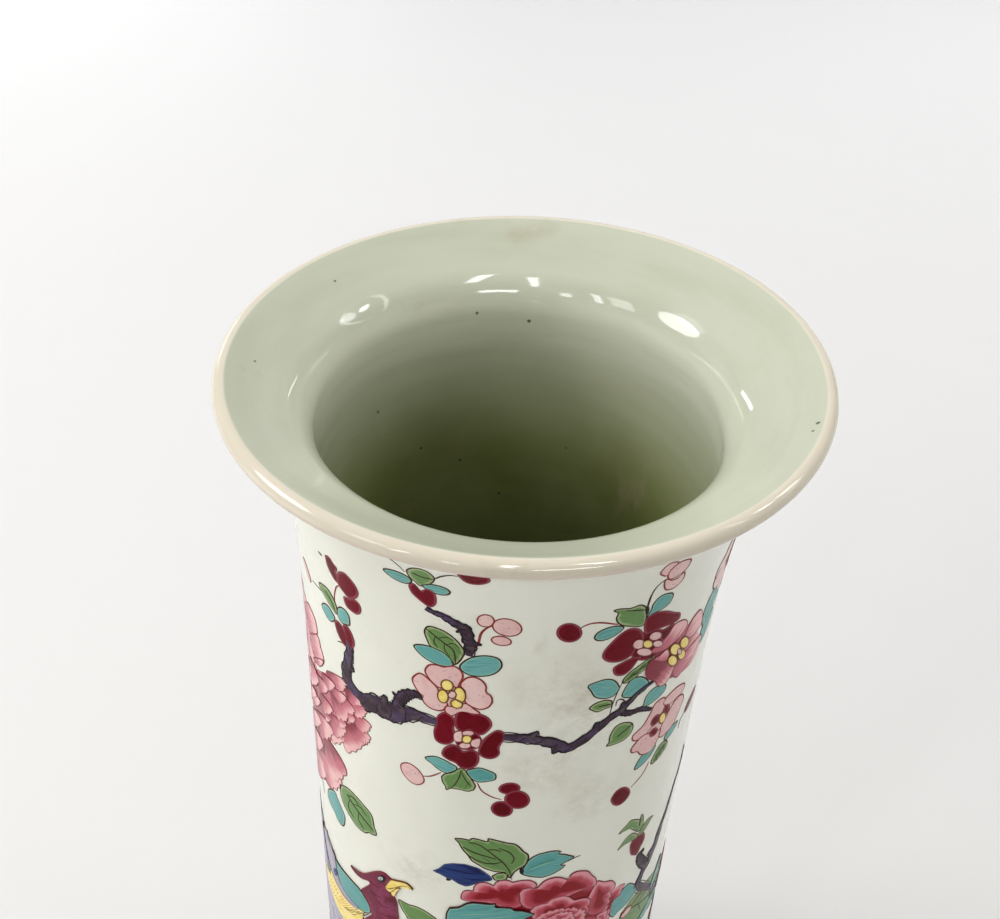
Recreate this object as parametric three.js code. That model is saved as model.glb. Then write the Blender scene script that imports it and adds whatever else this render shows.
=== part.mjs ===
import * as THREE from 'three';

// Spill vase: a straight porcelain cylinder with a flared mouth, thrown in sections that are luted end to end.
// Millimetres, +Z up. The origin is the centre of the face that the vase stands on.

// Driving dimensions of the wall
const bodyDiameter = 90.8;
const wallThickness = 4.2;
const lowerWallHeight = 116;
const upperWallHeight = 104.4;
const mouthHeight = 26;

// Driving dimensions of the foot and the floor
const footHeight = 6.4;
const footInset = 1.8;
const footRingWidth = 5;
const footChamfer = 0.9;
const floorThickness = 6;
const heelHeight = 2.6;
const floorFilletRadius = 5;

// Driving dimensions of the mouth and the lip
const rimOverhang = 14.6;
const lipThickness = 3.6;
const lipUndercut = 2.4;
const flareFall = 14;
const throatKneeRadius = 11;
const throatSlopeDegrees = 32.5;

// Driving dimensions of the slip between two sections
const slipThickness = 0.6;
const slipRidge = 0.4;

// Counts of the steps that the round shapes are divided into
const aroundSteps = 64;
const flareSteps = 12;
const wallSteps = 8;
const arcSteps = 5;
const lipSteps = 12;

// Heights of the joints, from the foot up
const floorBottom = footHeight;
const floorTop = floorBottom + floorThickness;
const bodySeamBottom = floorTop + lowerWallHeight;
const bodySeamTop = bodySeamBottom + slipThickness;
const mouthSeamBottom = bodySeamTop + upperWallHeight;
const mouthSeamTop = mouthSeamBottom + slipThickness;
const rimHeight = mouthSeamTop + mouthHeight;
const lipSeatHeight = rimHeight - lipThickness;

// Radii of the body, the foot and the lip
const bodyRadius = bodyDiameter / 2;
const throatRadius = bodyRadius - wallThickness;
const footOuterRadius = bodyRadius - footInset;
const footInnerRadius = footOuterRadius - footRingWidth;
const lipRadius = lipThickness / 2;
const lipCentreRadius = bodyRadius + rimOverhang - lipRadius;
const lipSeatRadius = lipCentreRadius - lipUndercut;

// The inside of the mouth is a cone that leaves the lip at a tangent and turns into the throat over a rounded knee
const throatSlope = THREE.MathUtils.degToRad(throatSlopeDegrees);
const coneTopRadius = lipCentreRadius - lipRadius * Math.sin(throatSlope);
const coneTopHeight = rimHeight - lipRadius + lipRadius * Math.cos(throatSlope);
const kneeReach = throatKneeRadius * (1 - Math.sin(throatSlope));
const coneBottomRadius = throatRadius + kneeReach;
const coneBottomHeight = coneTopHeight - (coneTopRadius - coneBottomRadius) * Math.tan(throatSlope);
const kneeBottomHeight = coneBottomHeight - throatKneeRadius * Math.cos(throatSlope);

const point = (radius, height) => new THREE.Vector2(radius, height);

// Radius of the outside of the wall, which widens towards the lip
function outerRadius(height) {
  const depthUnderLip = lipSeatHeight - height;
  return bodyRadius + (lipSeatRadius - bodyRadius) * Math.exp(-depthUnderLip / flareFall);
}

// Radius of the inside of the wall: the straight throat, the knee, then the cone
function innerRadius(height) {
  if (height <= kneeBottomHeight) return throatRadius;
  if (height < coneBottomHeight) {
    const riseOverKnee = height - kneeBottomHeight;
    return throatRadius + throatKneeRadius - Math.sqrt(throatKneeRadius ** 2 - riseOverKnee ** 2);
  }
  return coneBottomRadius + (height - coneBottomHeight) / Math.tan(throatSlope);
}

// Points up one side of a wall, closer together towards the top, where the wall curves most
function sidePoints(radiusAt, bottom, top, steps) {
  const points = [];
  for (let step = 0; step <= steps; step++) {
    const shareLeft = 1 - step / steps;
    const height = top - (top - bottom) * shareLeft ** 2;
    points.push(point(radiusAt(height), height));
  }
  return points;
}

// Points along an arc or a quarter of an ellipse, between two angles in quarter turns
function arcPoints(radius, height, radiusAcross, radiusUp, fromQuarters, toQuarters, steps) {
  const from = fromQuarters * Math.PI / 2;
  const to = toQuarters * Math.PI / 2;
  const arc = new THREE.EllipseCurve(radius, height, radiusAcross, radiusUp, from, to, to < from);
  return arc.getPoints(steps);
}

// A solid of revolution about Z from an outline that runs up the outside and down the inside
function turned(name, outline, material) {
  const geometry = new THREE.LatheGeometry(outline, aroundSteps);
  geometry.rotateX(Math.PI / 2);
  const mesh = new THREE.Mesh(geometry, material);
  mesh.name = name;
  return mesh;
}

const closed = (outline) => [...outline, outline[0].clone()];

// Materials
const bareClay = new THREE.MeshStandardMaterial({ color: 0xb9a58c, roughness: 0.85, metalness: 0 });
const paleGlaze = new THREE.MeshStandardMaterial({ color: 0xdfe2d6, roughness: 0.18, metalness: 0 });
const seamGlaze = new THREE.MeshStandardMaterial({ color: 0xc3bba8, roughness: 0.25, metalness: 0 });
const creamGlaze = new THREE.MeshStandardMaterial({ color: 0xeadcc6, roughness: 0.2, metalness: 0 });

// Foot ring, with both edges of its resting face chamfered
function footRing() {
  return turned('foot_ring', closed([
    point(footOuterRadius - footChamfer, 0),
    point(footOuterRadius, footChamfer),
    point(footOuterRadius, footHeight),
    point(footInnerRadius, footHeight),
    point(footInnerRadius, footChamfer),
    point(footInnerRadius + footChamfer, 0),
  ]), bareClay);
}

// Floor, with the heel rounding out from the foot ring to the wall
function baseFloor() {
  return turned('base_floor', [
    point(0, floorBottom),
    ...arcPoints(footOuterRadius, floorBottom + heelHeight, footInset, heelHeight, -1, 0, arcSteps),
    point(bodyRadius, floorTop),
    point(0, floorTop),
  ], paleGlaze);
}

// Lower cylinder, which stands on the floor and has a rounded corner inside
function lowerWall() {
  const filletRadius = throatRadius - floorFilletRadius;
  const filletHeight = floorTop + floorFilletRadius;
  return turned('lower_wall', closed([
    ...sidePoints(outerRadius, floorTop, bodySeamBottom, 1),
    point(innerRadius(bodySeamBottom), bodySeamBottom),
    ...arcPoints(filletRadius, filletHeight, floorFilletRadius, floorFilletRadius, 0, -1, arcSteps),
  ]), paleGlaze);
}

// Layer of slip between two sections, squeezed out inside as a low ridge
function seam(name, bottom, top) {
  return turned(name, closed([
    point(outerRadius(bottom), bottom),
    point(outerRadius(top), top),
    point(innerRadius(top) - slipRidge, top),
    point(innerRadius(bottom) - slipRidge, bottom),
  ]), seamGlaze);
}

// Upper cylinder, which begins to widen outside near its top
function upperWall() {
  return turned('upper_wall', closed([
    ...sidePoints(outerRadius, bodySeamTop, mouthSeamBottom, wallSteps),
    ...sidePoints(innerRadius, bodySeamTop, mouthSeamBottom, 1).reverse(),
  ]), paleGlaze);
}

// Flared mouth, up to the flat seat of the lip
function mouthFlare() {
  return turned('mouth_flare', closed([
    ...sidePoints(outerRadius, mouthSeamTop, lipSeatHeight, flareSteps),
    ...sidePoints(innerRadius, mouthSeamTop, lipSeatHeight, flareSteps).reverse(),
  ]), paleGlaze);
}

// Rounded lip, which carries the cone of the mouth up to the rim
function lipRoll() {
  const centreHeight = rimHeight - lipRadius;
  return turned('lip_roll', closed([
    ...arcPoints(lipCentreRadius, centreHeight, lipRadius, lipRadius, -1, 1, lipSteps),
    point(coneTopRadius, coneTopHeight),
    point(innerRadius(lipSeatHeight), lipSeatHeight),
  ]), creamGlaze);
}

const vase = new THREE.Group();
vase.name = 'spill_vase';
vase.add(
  footRing(),
  baseFloor(),
  lowerWall(),
  seam('body_seam', bodySeamBottom, bodySeamTop),
  upperWall(),
  seam('mouth_seam', mouthSeamBottom, mouthSeamTop),
  mouthFlare(),
  lipRoll(),
);

export default vase;
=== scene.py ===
# %% [markdown]
# # A porcelain spill vase painted in raised enamels
# The vase is a thrown cylinder with a flared mouth, glazed pale grey-green and painted with flowering branches,
# peonies and a long-tailed bird. This lesson dresses a fixed CAD model of it: the turned wall first, then the
# painting, which is built as thin raised colour on the wall, and last the light.

# %% Load the fixed frame
import math

import bpy
import numpy as np
from mathutils import Matrix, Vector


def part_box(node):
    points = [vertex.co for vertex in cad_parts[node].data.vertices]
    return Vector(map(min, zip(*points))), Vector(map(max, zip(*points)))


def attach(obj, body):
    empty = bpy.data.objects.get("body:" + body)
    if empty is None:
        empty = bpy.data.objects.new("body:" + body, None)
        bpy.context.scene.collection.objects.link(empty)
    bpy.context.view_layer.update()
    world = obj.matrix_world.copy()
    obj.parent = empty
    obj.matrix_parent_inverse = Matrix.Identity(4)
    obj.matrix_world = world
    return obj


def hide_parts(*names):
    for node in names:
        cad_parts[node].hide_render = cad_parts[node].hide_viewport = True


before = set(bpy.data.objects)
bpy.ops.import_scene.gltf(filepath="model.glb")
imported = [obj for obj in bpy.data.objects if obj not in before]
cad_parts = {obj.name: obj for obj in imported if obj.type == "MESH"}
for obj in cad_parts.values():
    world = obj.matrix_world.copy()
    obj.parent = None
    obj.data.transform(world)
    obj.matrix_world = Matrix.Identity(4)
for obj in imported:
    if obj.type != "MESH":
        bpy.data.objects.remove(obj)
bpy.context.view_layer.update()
print("CAD nodes:", ", ".join(sorted(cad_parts)))

# %% [markdown]
# ## The sizes of the wall
# Where each section of clay begins and ends is read from the CAD model's boxes. The few sizes that a box can't
# show are named here with the CAD model's values. Everything is worked out in millimetres and made metres in the
# mesh. The real lip sagged a little in the kiln, so a lean of about a millimetre is added near the rim.

# %% Sizes of the body, the mouth and the foot
MM = 0.001


def node_size(node):
    """Lowest height, highest height and outer radius of a CAD node, in millimetres."""
    low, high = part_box(node)
    return low.z / MM, high.z / MM, high.x / MM


_, FLOOR_BOTTOM, FOOT_RADIUS = node_size("foot_ring")
_, FLOOR_TOP, _ = node_size("base_floor")
_, _, BODY_RADIUS = node_size("lower_wall")
BODY_SEAM_BOTTOM, BODY_SEAM_TOP, _ = node_size("body_seam")
MOUTH_SEAM_BOTTOM, MOUTH_SEAM_TOP, _ = node_size("mouth_seam")
LIP_SEAT, RIM_HEIGHT, RIM_RADIUS = node_size("lip_roll")

WALL_THICKNESS = 4.2
FOOT_RING_WIDTH = 5
FOOT_CHAMFER = 0.9
HEEL_HEIGHT = 2.6
FLOOR_FILLET = 5
SLIP_RIDGE = 0.009
FLARE_FALL = 14
KNEE_RADIUS = 11
THROAT_SLOPE = math.radians(32.5)
LIP_UNDERCUT = 2.4

THROAT_RADIUS = BODY_RADIUS - WALL_THICKNESS
LIP_RADIUS = (RIM_HEIGHT - LIP_SEAT) / 2
LIP_CENTRE = RIM_RADIUS - LIP_RADIUS
LIP_SEAT_RADIUS = LIP_CENTRE - LIP_UNDERCUT
CONE_TOP_RADIUS = LIP_CENTRE - LIP_RADIUS * math.sin(THROAT_SLOPE)
CONE_TOP = RIM_HEIGHT - LIP_RADIUS + LIP_RADIUS * math.cos(THROAT_SLOPE)
CONE_BOTTOM_RADIUS = THROAT_RADIUS + KNEE_RADIUS * (1 - math.sin(THROAT_SLOPE))
CONE_BOTTOM = CONE_TOP - (CONE_TOP_RADIUS - CONE_BOTTOM_RADIUS) * math.tan(THROAT_SLOPE)
KNEE_BOTTOM = CONE_BOTTOM - KNEE_RADIUS * math.cos(THROAT_SLOPE)


def outside(height):
    """Radius of the outside of the wall, which widens towards the lip."""
    return BODY_RADIUS + (LIP_SEAT_RADIUS - BODY_RADIUS) * np.exp(-(LIP_SEAT - height) / FLARE_FALL)


def inside(height):
    """Radius of the inside of the wall: the throat, the knee, then the cone of the mouth."""
    height = np.asarray(height, float)
    rise = np.clip(height - KNEE_BOTTOM, 0, CONE_BOTTOM - KNEE_BOTTOM)
    knee = THROAT_RADIUS + KNEE_RADIUS - np.sqrt(KNEE_RADIUS**2 - rise**2)
    return np.where(height < CONE_BOTTOM, knee, CONE_BOTTOM_RADIUS + (height - CONE_BOTTOM) / math.tan(THROAT_SLOPE))


LEAN_START, LEAN_END = 246, 258
LIP_SHIFT = (0.44, -0.38)
LIP_TILT = 1.35


def lip_lean(spots):
    """How far the lip sagged to one side in the kiln: nothing at the throat, all of it at the rim."""
    share = np.clip((spots[:, 2] - LEAN_START) / (LEAN_END - LEAN_START), 0, 1)
    share = (share * share * (3 - 2 * share))[:, None]
    across, along = (np.full(len(spots), shift) for shift in LIP_SHIFT)
    return share * np.column_stack([across, along, LIP_TILT * spots[:, 0] / RIM_RADIUS])


print(f"body {2 * BODY_RADIUS:.1f} mm across, rim {2 * RIM_RADIUS:.1f} mm across, {RIM_HEIGHT:.1f} mm tall")

# %% [markdown]
# ## The camera
# The photograph looks down into the mouth from in front. The camera's place and turn were worked out from the
# outlines of the rim, the throat and both sides of the body. The same axes later lay the painting on the wall.

# %% Camera at the photograph's place
PHOTO_WIDTH, PHOTO_HEIGHT = 1000, 919
FOCAL_PIXELS = 1230
SENSOR_WIDTH = 36
EYE = np.array([0, -200.6, 391.63])
YAW, PITCH, ROLL = np.radians([-0.987, 38.206, 3.003])

ahead = np.array([math.sin(YAW) * math.cos(PITCH), math.cos(YAW) * math.cos(PITCH), -math.sin(PITCH)])
level_right = np.array([math.cos(YAW), -math.sin(YAW), 0])
level_up = np.cross(level_right, ahead)
photo_right = math.cos(ROLL) * level_right + math.sin(ROLL) * level_up
photo_up = math.cos(ROLL) * level_up - math.sin(ROLL) * level_right


def ray_through(x, y):
    """The direction from the camera through a pixel of the photograph, or through each of many."""
    across, down = x - PHOTO_WIDTH / 2, y - PHOTO_HEIGHT / 2
    return ahead + photo_right * across / FOCAL_PIXELS - photo_up * down / FOCAL_PIXELS


def place_at(thing, spot, right, up, back):
    """Stand a camera or a lamp at a spot, given in millimetres, with its axes in these directions."""
    turn = Matrix([[*row] for row in np.column_stack([right, up, back])]).to_4x4()
    thing.matrix_world = Matrix.Translation([*(spot * MM)]) @ turn


bpy.ops.object.camera_add()
camera = bpy.context.object
place_at(camera, EYE, photo_right, photo_up, -ahead)
camera.data.sensor_fit = "HORIZONTAL"
camera.data.sensor_width = SENSOR_WIDTH
camera.data.lens = FOCAL_PIXELS * SENSOR_WIDTH / PHOTO_WIDTH
camera.data.clip_end = 20
bpy.context.scene.camera = camera
bpy.context.scene.view_settings.view_transform = "Standard"
print(f"camera {camera.data.lens:.1f} mm lens, {math.degrees(PITCH):.1f} degrees down")

# %% [markdown]
# ## Shader maths as Python
# A material is a graph of nodes, and wiring one by hand takes many lines. So a small class wraps a socket: Python's
# operators add the Math nodes, and one method adds any other node from its type, its settings and its inputs.


# %% A socket that can be added, multiplied and mixed
def paint_colour(red, green, blue):
    """A colour given as the eye reads it on screen, from 0 to 255, as the shader wants it."""
    shares = np.array([red, green, blue]) / 255
    bright = ((shares + 0.055) / 1.055) ** 2.4
    return tuple(float(share) for share in np.where(shares < 0.04045, shares / 12.92, bright))


class Socket:
    """An output of a node, or the tree alone, with the nodes that can follow it. Colours are as on screen."""

    def __init__(self, tree, socket):
        self.tree = tree
        self.socket = socket

    def node(self, kind, settings=None, output=0, **inputs):
        """Add a node, set it up, feed its sockets by name or number, and return one of its outputs."""
        new = self.tree.nodes.new(kind)
        for name, value in (settings or {}).items():
            setattr(new, name, value)
        for name, value in inputs.items():
            key = int(name[1:]) if name[0] == "_" else name.replace("_", " ")
            if isinstance(value, Socket):
                self.tree.links.new(value.socket, new.inputs[key])
            elif isinstance(value, tuple) and new.inputs[key].type == "RGBA":
                new.inputs[key].default_value = (*paint_colour(*value), 1)
            else:
                new.inputs[key].default_value = value
        return Socket(self.tree, new.outputs[output])

    def maths(self, operation, first, second=0.0, third=0.0):
        return self.node("ShaderNodeMath", {"operation": operation}, _0=first, _1=second, _2=third)

    def __add__(self, other):
        return self.maths("ADD", self, other)

    def __sub__(self, other):
        return self.maths("SUBTRACT", self, other)

    def __rsub__(self, other):
        return self.maths("SUBTRACT", other, self)

    def __mul__(self, other):
        return self.maths("MULTIPLY", self, other)

    __radd__ = __add__
    __rmul__ = __mul__

    def rising(self, start, end):
        """0 below start, 1 above end, and a smooth slope between."""
        settings = {"interpolation_type": "SMOOTHSTEP"}
        return self.node("ShaderNodeMapRange", settings, Value=self, From_Min=start, From_Max=end)

    def blend(self, first, second):
        """The first colour where this is 0, the second where it is 1."""
        return self.node("ShaderNodeMix", {"data_type": "RGBA"}, 2, _0=self, _6=first, _7=second)

    def noise(self, places, scale, detail=2.0, roughness=0.5):
        inputs = {"Vector": places, "Scale": scale, "Detail": detail, "Roughness": roughness}
        return self.node("ShaderNodeTexNoise", None, 0, **inputs)

    def stretched(self, places, amounts):
        return self.node("ShaderNodeVectorMath", {"operation": "MULTIPLY"}, _0=places, _1=amounts)

    def axis(self, places, number):
        """One coordinate of a place: 0 is x, 1 is y and 2 is z."""
        return self.node("ShaderNodeSeparateXYZ", None, number, Vector=places)

    def near(self, places, spot, inner, outer):
        """1 within the inner distance of a spot, 0 beyond the outer one."""
        away = self.node("ShaderNodeVectorMath", {"operation": "DISTANCE"}, 1, _0=places, _1=spot)
        return 1 - away.rising(inner, outer)

    def stored(self, name):
        """A number that is kept on the corners of the mesh."""
        return self.node("ShaderNodeAttribute", {"attribute_name": name}, 2)

    def bump(self, height, strength, depth_mm):
        return self.node("ShaderNodeBump", None, Height=height, Strength=strength, Distance=depth_mm * MM)


def new_finish(name, **constants):
    """A material with one Principled shader, and a maker of sockets in it."""
    material = bpy.data.materials.new(name)
    material.use_nodes = True
    shader = material.node_tree.nodes["Principled BSDF"]
    for key, value in constants.items():
        shader.inputs[key.replace("_", " ")].default_value = value
    maker = Socket(material.node_tree, None)
    places = maker.node("ShaderNodeTexCoord", None, 3)

    def connect(**links):
        for key, link in links.items():
            material.node_tree.links.new(link.socket, shader.inputs[key.replace("_", " ")])

    return material, maker, places, connect


print("shader tools ready")

# %% [markdown]
# ## The glaze
# The glaze is a glassy coat over white porcelain: nearly white outside, greener inside, pale at the lip, with a few
# dark specks of iron. Down the throat its colour darkens to olive, which is painted shade of the deep inside, and at
# the knee of the mouth it is paler, which is painted light. One finish serves the whole wall. An attribute on each
# mesh says which side of the wall a point is on, and all patterns read Object coordinates, so they cross the joints
# unbroken.

# %% Where the photograph shows specks and dirt on the glaze
NEAREST, FURTHEST, RAY_STEPS = 140, 520, 7601


def on_inside(photo_x, photo_y):
    """Where a point of the photograph lies on the inside of the mouth or the throat, in metres."""
    spots = EYE + ray_through(photo_x, photo_y) * np.linspace(NEAREST, FURTHEST, RAY_STEPS)[:, None]
    upright = spots - lip_lean(spots)
    within = (np.hypot(upright[:, 0], upright[:, 1]) < inside(upright[:, 2])) & (upright[:, 2] < RIM_HEIGHT)
    entered = np.argmax(within)
    left = entered + np.argmin(within[entered:])
    return tuple(float(value) for value in spots[left] * MM)


SPECKS_INSIDE = [(335, 281), (477, 313), (529, 321), (255, 361), (421, 448), (460, 460), (566, 448), (499, 493),
    (818, 423), (813, 431), (378, 412)]
SPECK_SPOTS = [(on_inside(*pixel), 0.38 + 0.1 * (number % 3)) for number, pixel in enumerate(SPECKS_INSIDE)]
DIRT_ON_FAR_LIP = [on_inside(530, 232), on_inside(548, 228), on_inside(515, 236)]
DIRTY_WALL = [(12, 214, 17), (19, 204, 15), (9, 190, 14), (21, 176, 13), (-8, 228, 11), (-18, 150, 12), (84, 120, 14),
    (-130, 170, 15)]


def around_wall(across, height):
    """A place on the outside of the wall, in metres."""
    angle = across / BODY_RADIUS
    radius = float(outside(height))
    return (radius * math.sin(angle) * MM, -radius * math.cos(angle) * MM, height * MM)


DIRTY_SPOTS = [(around_wall(across, height), reach) for across, height, reach in DIRTY_WALL]
DIRTY_SPOTS += [(spot, 4) for spot in DIRT_ON_FAR_LIP]
print(len(SPECK_SPOTS), "specks and", len(DIRTY_SPOTS), "dirty places")

# %% Glaze with its specks and faint clouds
GLAZE_OUTSIDE = (238, 238, 224)
GLAZE_INSIDE = (202, 205, 184)
# Painted light: a paler colour for the knee of the mouth, under its broad soft shines.
PAINTED_KNEE_LIGHT = (230, 232, 214)
# Painted shade: the dark olive that colours the deep inside of the throat.
PAINTED_DEEP_SHADE = (130, 136, 84)
GLAZE_LIP = (222, 212, 192)
LIP_PINK = (216, 194, 180)
IRON_SPECK = (72, 74, 60)
PINK_SLIP = (186, 168, 150)
SMUDGE = (174, 162, 136)
BEAD_UNDERSIDE, BEAD_TOP = 256.8, 259

glaze, maker, places, connect = new_finish("celadon_glaze", Roughness=0.09, IOR=1.5)
side, lip, slip = (maker.stored(name) for name in ("wall_side", "lip_share", "slip_share"))
height = maker.axis(places, 2)
clouds = maker.noise(places, 22, 3, 0.55)
fine_clouds = maker.noise(places, 90, 2, 0.6)
speck_cells, speck_pick = (maker.node("ShaderNodeTexVoronoi", None, k, Vector=places, Scale=62.0) for k in (0, 1))
picked = maker.node("ShaderNodeSeparateColor", None, 0, Color=speck_pick).rising(0.98, 0.985)
specks = (1 - speck_cells.rising(0.018, 0.034)) * picked

# Painted shade: the inside darkens from the knee down the throat.
deep = 1 - height.rising(0.200, 0.250)
# Painted light: a pale band round the knee of the mouth.
painted_knee_light = height.rising(0.232, 0.243) * (1 - height.rising(0.246, 0.252)) * 0.7
inner_colour = deep.blend(painted_knee_light.blend(GLAZE_INSIDE, PAINTED_KNEE_LIGHT), PAINTED_DEEP_SHADE)
wall_colour = side.blend(GLAZE_OUTSIDE, inner_colour)
upright_height = height - maker.axis(places, 0) * (LIP_TILT / RIM_RADIUS)
under_bead = (1 - upright_height.rising(BEAD_UNDERSIDE * MM, BEAD_TOP * MM)) * 0.7
wall_colour = lip.blend(wall_colour, under_bead.blend(GLAZE_LIP, LIP_PINK))
wall_colour = (slip * clouds.rising(0.45, 0.6) * 0.14).blend(wall_colour, PINK_SLIP)
pooled = (clouds.rising(0.42, 0.68) * 0.10) + (fine_clouds.rising(0.45, 0.75) * 0.05)
wall_colour = pooled.blend(wall_colour, (196, 198, 170))
rings = maker.noise(maker.stretched(places, (1.0, 1.0, 9.0)), 30, 3, 0.6).rising(0.35, 0.75) * side
wall_colour = (rings * 0.12).blend(wall_colour, PAINTED_DEEP_SHADE)
smudged = maker.noise(maker.stretched(places, (1.0, 1.0, 0.55)), 58, 4, 0.7).rising(0.62, 0.76) * 0.28
dirt = maker.noise(places, 90, 5, 0.75)
for spot, reach in DIRTY_SPOTS:
    smudged = smudged + maker.near(places, spot, 0.0, reach * MM) * dirt.rising(0.34, 0.8) * 0.55
wall_colour = smudged.blend(wall_colour, SMUDGE)
for spot, reach in SPECK_SPOTS:
    specks = specks + maker.near(places, spot, reach * 0.5 * MM, reach * MM)
wall_colour = (specks * 0.85).blend(wall_colour, IRON_SPECK)
ripple = (maker.noise(places, 140, 2, 0.5) * 0.6) + (maker.noise(places, 480, 1, 0.5) * 0.25)
connect(Base_Color=wall_colour, Normal=maker.bump(ripple - specks * 0.3, 0.18, 0.12),
    Roughness=0.045 + fine_clouds * 0.035)
print("glaze:", len(glaze.node_tree.nodes), "nodes")

# %% [markdown]
# The foot ring is bare clay, because glaze would stick it to the kiln shelf. It is matt, warm and a little
# dusty, with fine turning lines and the odd burnt speck.

# %% Bare clay of the foot ring
bare_clay, maker, places, connect = new_finish("bare_clay", Roughness=0.82, IOR=1.45)
grain = maker.noise(places, 900, 4, 0.65)
patches = maker.noise(places, 60, 3, 0.6)
turning = maker.noise(maker.stretched(places, (60.0, 60.0, 2600.0)), 1, 1, 0.5)
clay_colour = patches.rising(0.3, 0.7).blend((190, 166, 136), (216, 198, 172))
clay_colour = (grain.rising(0.62, 0.78) * 0.5).blend(clay_colour, (120, 92, 68))
connect(Base_Color=clay_colour, Normal=maker.bump(grain * 0.6 + turning * 0.4, 0.5, 0.25),
    Roughness=0.7 + grain * 0.25)
print("bare clay:", len(bare_clay.node_tree.nodes), "nodes")

# %% [markdown]
# ## The turned wall
# Each section is thrown on a wheel, so it is a shape of revolution. A stack of scaled circles could make it, but a
# profile spun once round the axis is closer to the potter's way. The profile starts as a circle primitive, its
# corners are laid on the outline, and Spin carries it round. The seam is then merged.

# %% Spin a closed outline round the axis
TURN_STEPS = 224
THROWING_RIDGE = 0.02
THROWING_PITCH = 6.5
SHARP_ANGLE = math.radians(25)


def deselect_all():
    bpy.ops.object.select_all(action="DESELECT")


def turned(name, outline):
    """A solid spun from a closed outline of (radius, height) corners in millimetres."""
    deselect_all()
    bpy.ops.mesh.primitive_circle_add(vertices=len(outline), radius=BODY_RADIUS * MM, fill_type="NOTHING")
    piece = bpy.context.object
    piece.name = name
    corners = np.zeros((len(outline), 3))
    corners[:, 0] = [radius * MM for radius, _ in outline]
    corners[:, 2] = [height * MM for _, height in outline]
    piece.data.vertices.foreach_set("co", corners.ravel())
    bpy.ops.object.mode_set(mode="EDIT")
    bpy.ops.mesh.select_all(action="SELECT")
    bpy.ops.mesh.spin(steps=TURN_STEPS, angle=2 * math.pi, center=(0, 0, 0), axis=(0, 0, 1))
    bpy.ops.mesh.select_all(action="SELECT")
    bpy.ops.mesh.remove_doubles(threshold=0.001 * MM)
    bpy.ops.mesh.normals_make_consistent(inside=False)
    bpy.ops.object.mode_set(mode="OBJECT")
    bpy.ops.object.shade_smooth_by_angle(angle=SHARP_ANGLE)
    return piece


def corners_of(piece):
    """A piece's corners in millimetres, as rows of x, y, z."""
    flat = np.empty(len(piece.data.vertices) * 3)
    piece.data.vertices.foreach_get("co", flat)
    return flat.reshape(-1, 3) / MM


def put_corners(piece, corners):
    """Set a piece's corners from millimetres, with the lean of the lip."""
    piece.data.vertices.foreach_set("co", ((corners + lip_lean(corners)) * MM).ravel())
    piece.data.update()


def put_shares(piece, name, values):
    """Keep one number for each corner under a name that the materials read."""
    attribute = piece.data.attributes.new(name, "FLOAT", "POINT")
    attribute.data.foreach_set("value", np.asarray(values, np.float32))


def heights(bottom, top, spacing):
    """Heights from bottom to top, about one spacing apart."""
    return np.linspace(bottom, top, max(2, round((top - bottom) / spacing) + 1))


def wall_outline(bottom, top, inner_bottom=None, spacing=1.6):
    """Up the outside and down the inside of a wall between two heights."""
    outer = [(float(outside(h)), h) for h in heights(bottom, top, spacing)]
    inner = [(float(inside(h)), h) for h in heights(bottom if inner_bottom is None else inner_bottom, top, spacing)]
    return outer + inner[::-1]


def arc(radius, height, across, up, start, end, steps):
    """Corners along part of an ellipse, between two angles in degrees."""
    angles = np.radians(np.linspace(start, end, steps + 1))
    return [(radius + across * math.cos(a), height + up * math.sin(a)) for a in angles]


print(f"turned pieces have {TURN_STEPS} steps round the axis")

# %% [markdown]
# The eight sections meet face to face at the heights that the CAD model gives. The foot ring's edges are softly
# rounded, and the floor turns into the wall over a heel outside and a fillet inside. The two seams are thin rings
# of slip, almost flush with the wall inside, so only their colour shows.

# %% The eight sections of the wall
foot_inner = FOOT_RADIUS - FOOT_RING_WIDTH
soft = FOOT_CHAMFER
foot_outline = (
    arc(FOOT_RADIUS - soft, soft, soft, soft, -90, 0, 6)
    + [(FOOT_RADIUS, h) for h in heights(soft, FLOOR_BOTTOM, 1)[1:]]
    + [(foot_inner, h) for h in heights(soft, FLOOR_BOTTOM, 1)[:0:-1]]
    + arc(foot_inner + soft, soft, soft, soft, 180, 270, 6)
)
heel = arc(FOOT_RADIUS, FLOOR_BOTTOM + HEEL_HEIGHT, BODY_RADIUS - FOOT_RADIUS, HEEL_HEIGHT, -90, 0, 10)
floor_outline = (
    [(radius, FLOOR_BOTTOM) for radius in np.linspace(0, foot_inner, 12)]
    + heel
    + [(BODY_RADIUS, FLOOR_TOP)]
    + [(radius, FLOOR_TOP) for radius in np.linspace(THROAT_RADIUS, 0, 12)]
)
fillet = arc(THROAT_RADIUS - FLOOR_FILLET, FLOOR_TOP + FLOOR_FILLET, FLOOR_FILLET, FLOOR_FILLET, 0, -90, 10)
lower_outline = wall_outline(FLOOR_TOP, BODY_SEAM_BOTTOM, FLOOR_TOP + FLOOR_FILLET)[:-1] + fillet


def seam_outline(bottom, top):
    """A thin ring of slip, rounded and almost flush inside."""
    middle = (bottom + top) / 2
    inner = float(inside(bottom))
    return [
        (float(outside(bottom)), bottom),
        (float(outside(top)), top),
        (inner, top),
        (inner - SLIP_RIDGE * 0.6, top - 0.1),
        (inner - SLIP_RIDGE, middle),
        (inner - SLIP_RIDGE * 0.6, bottom + 0.1),
        (inner, bottom),
    ]


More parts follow.
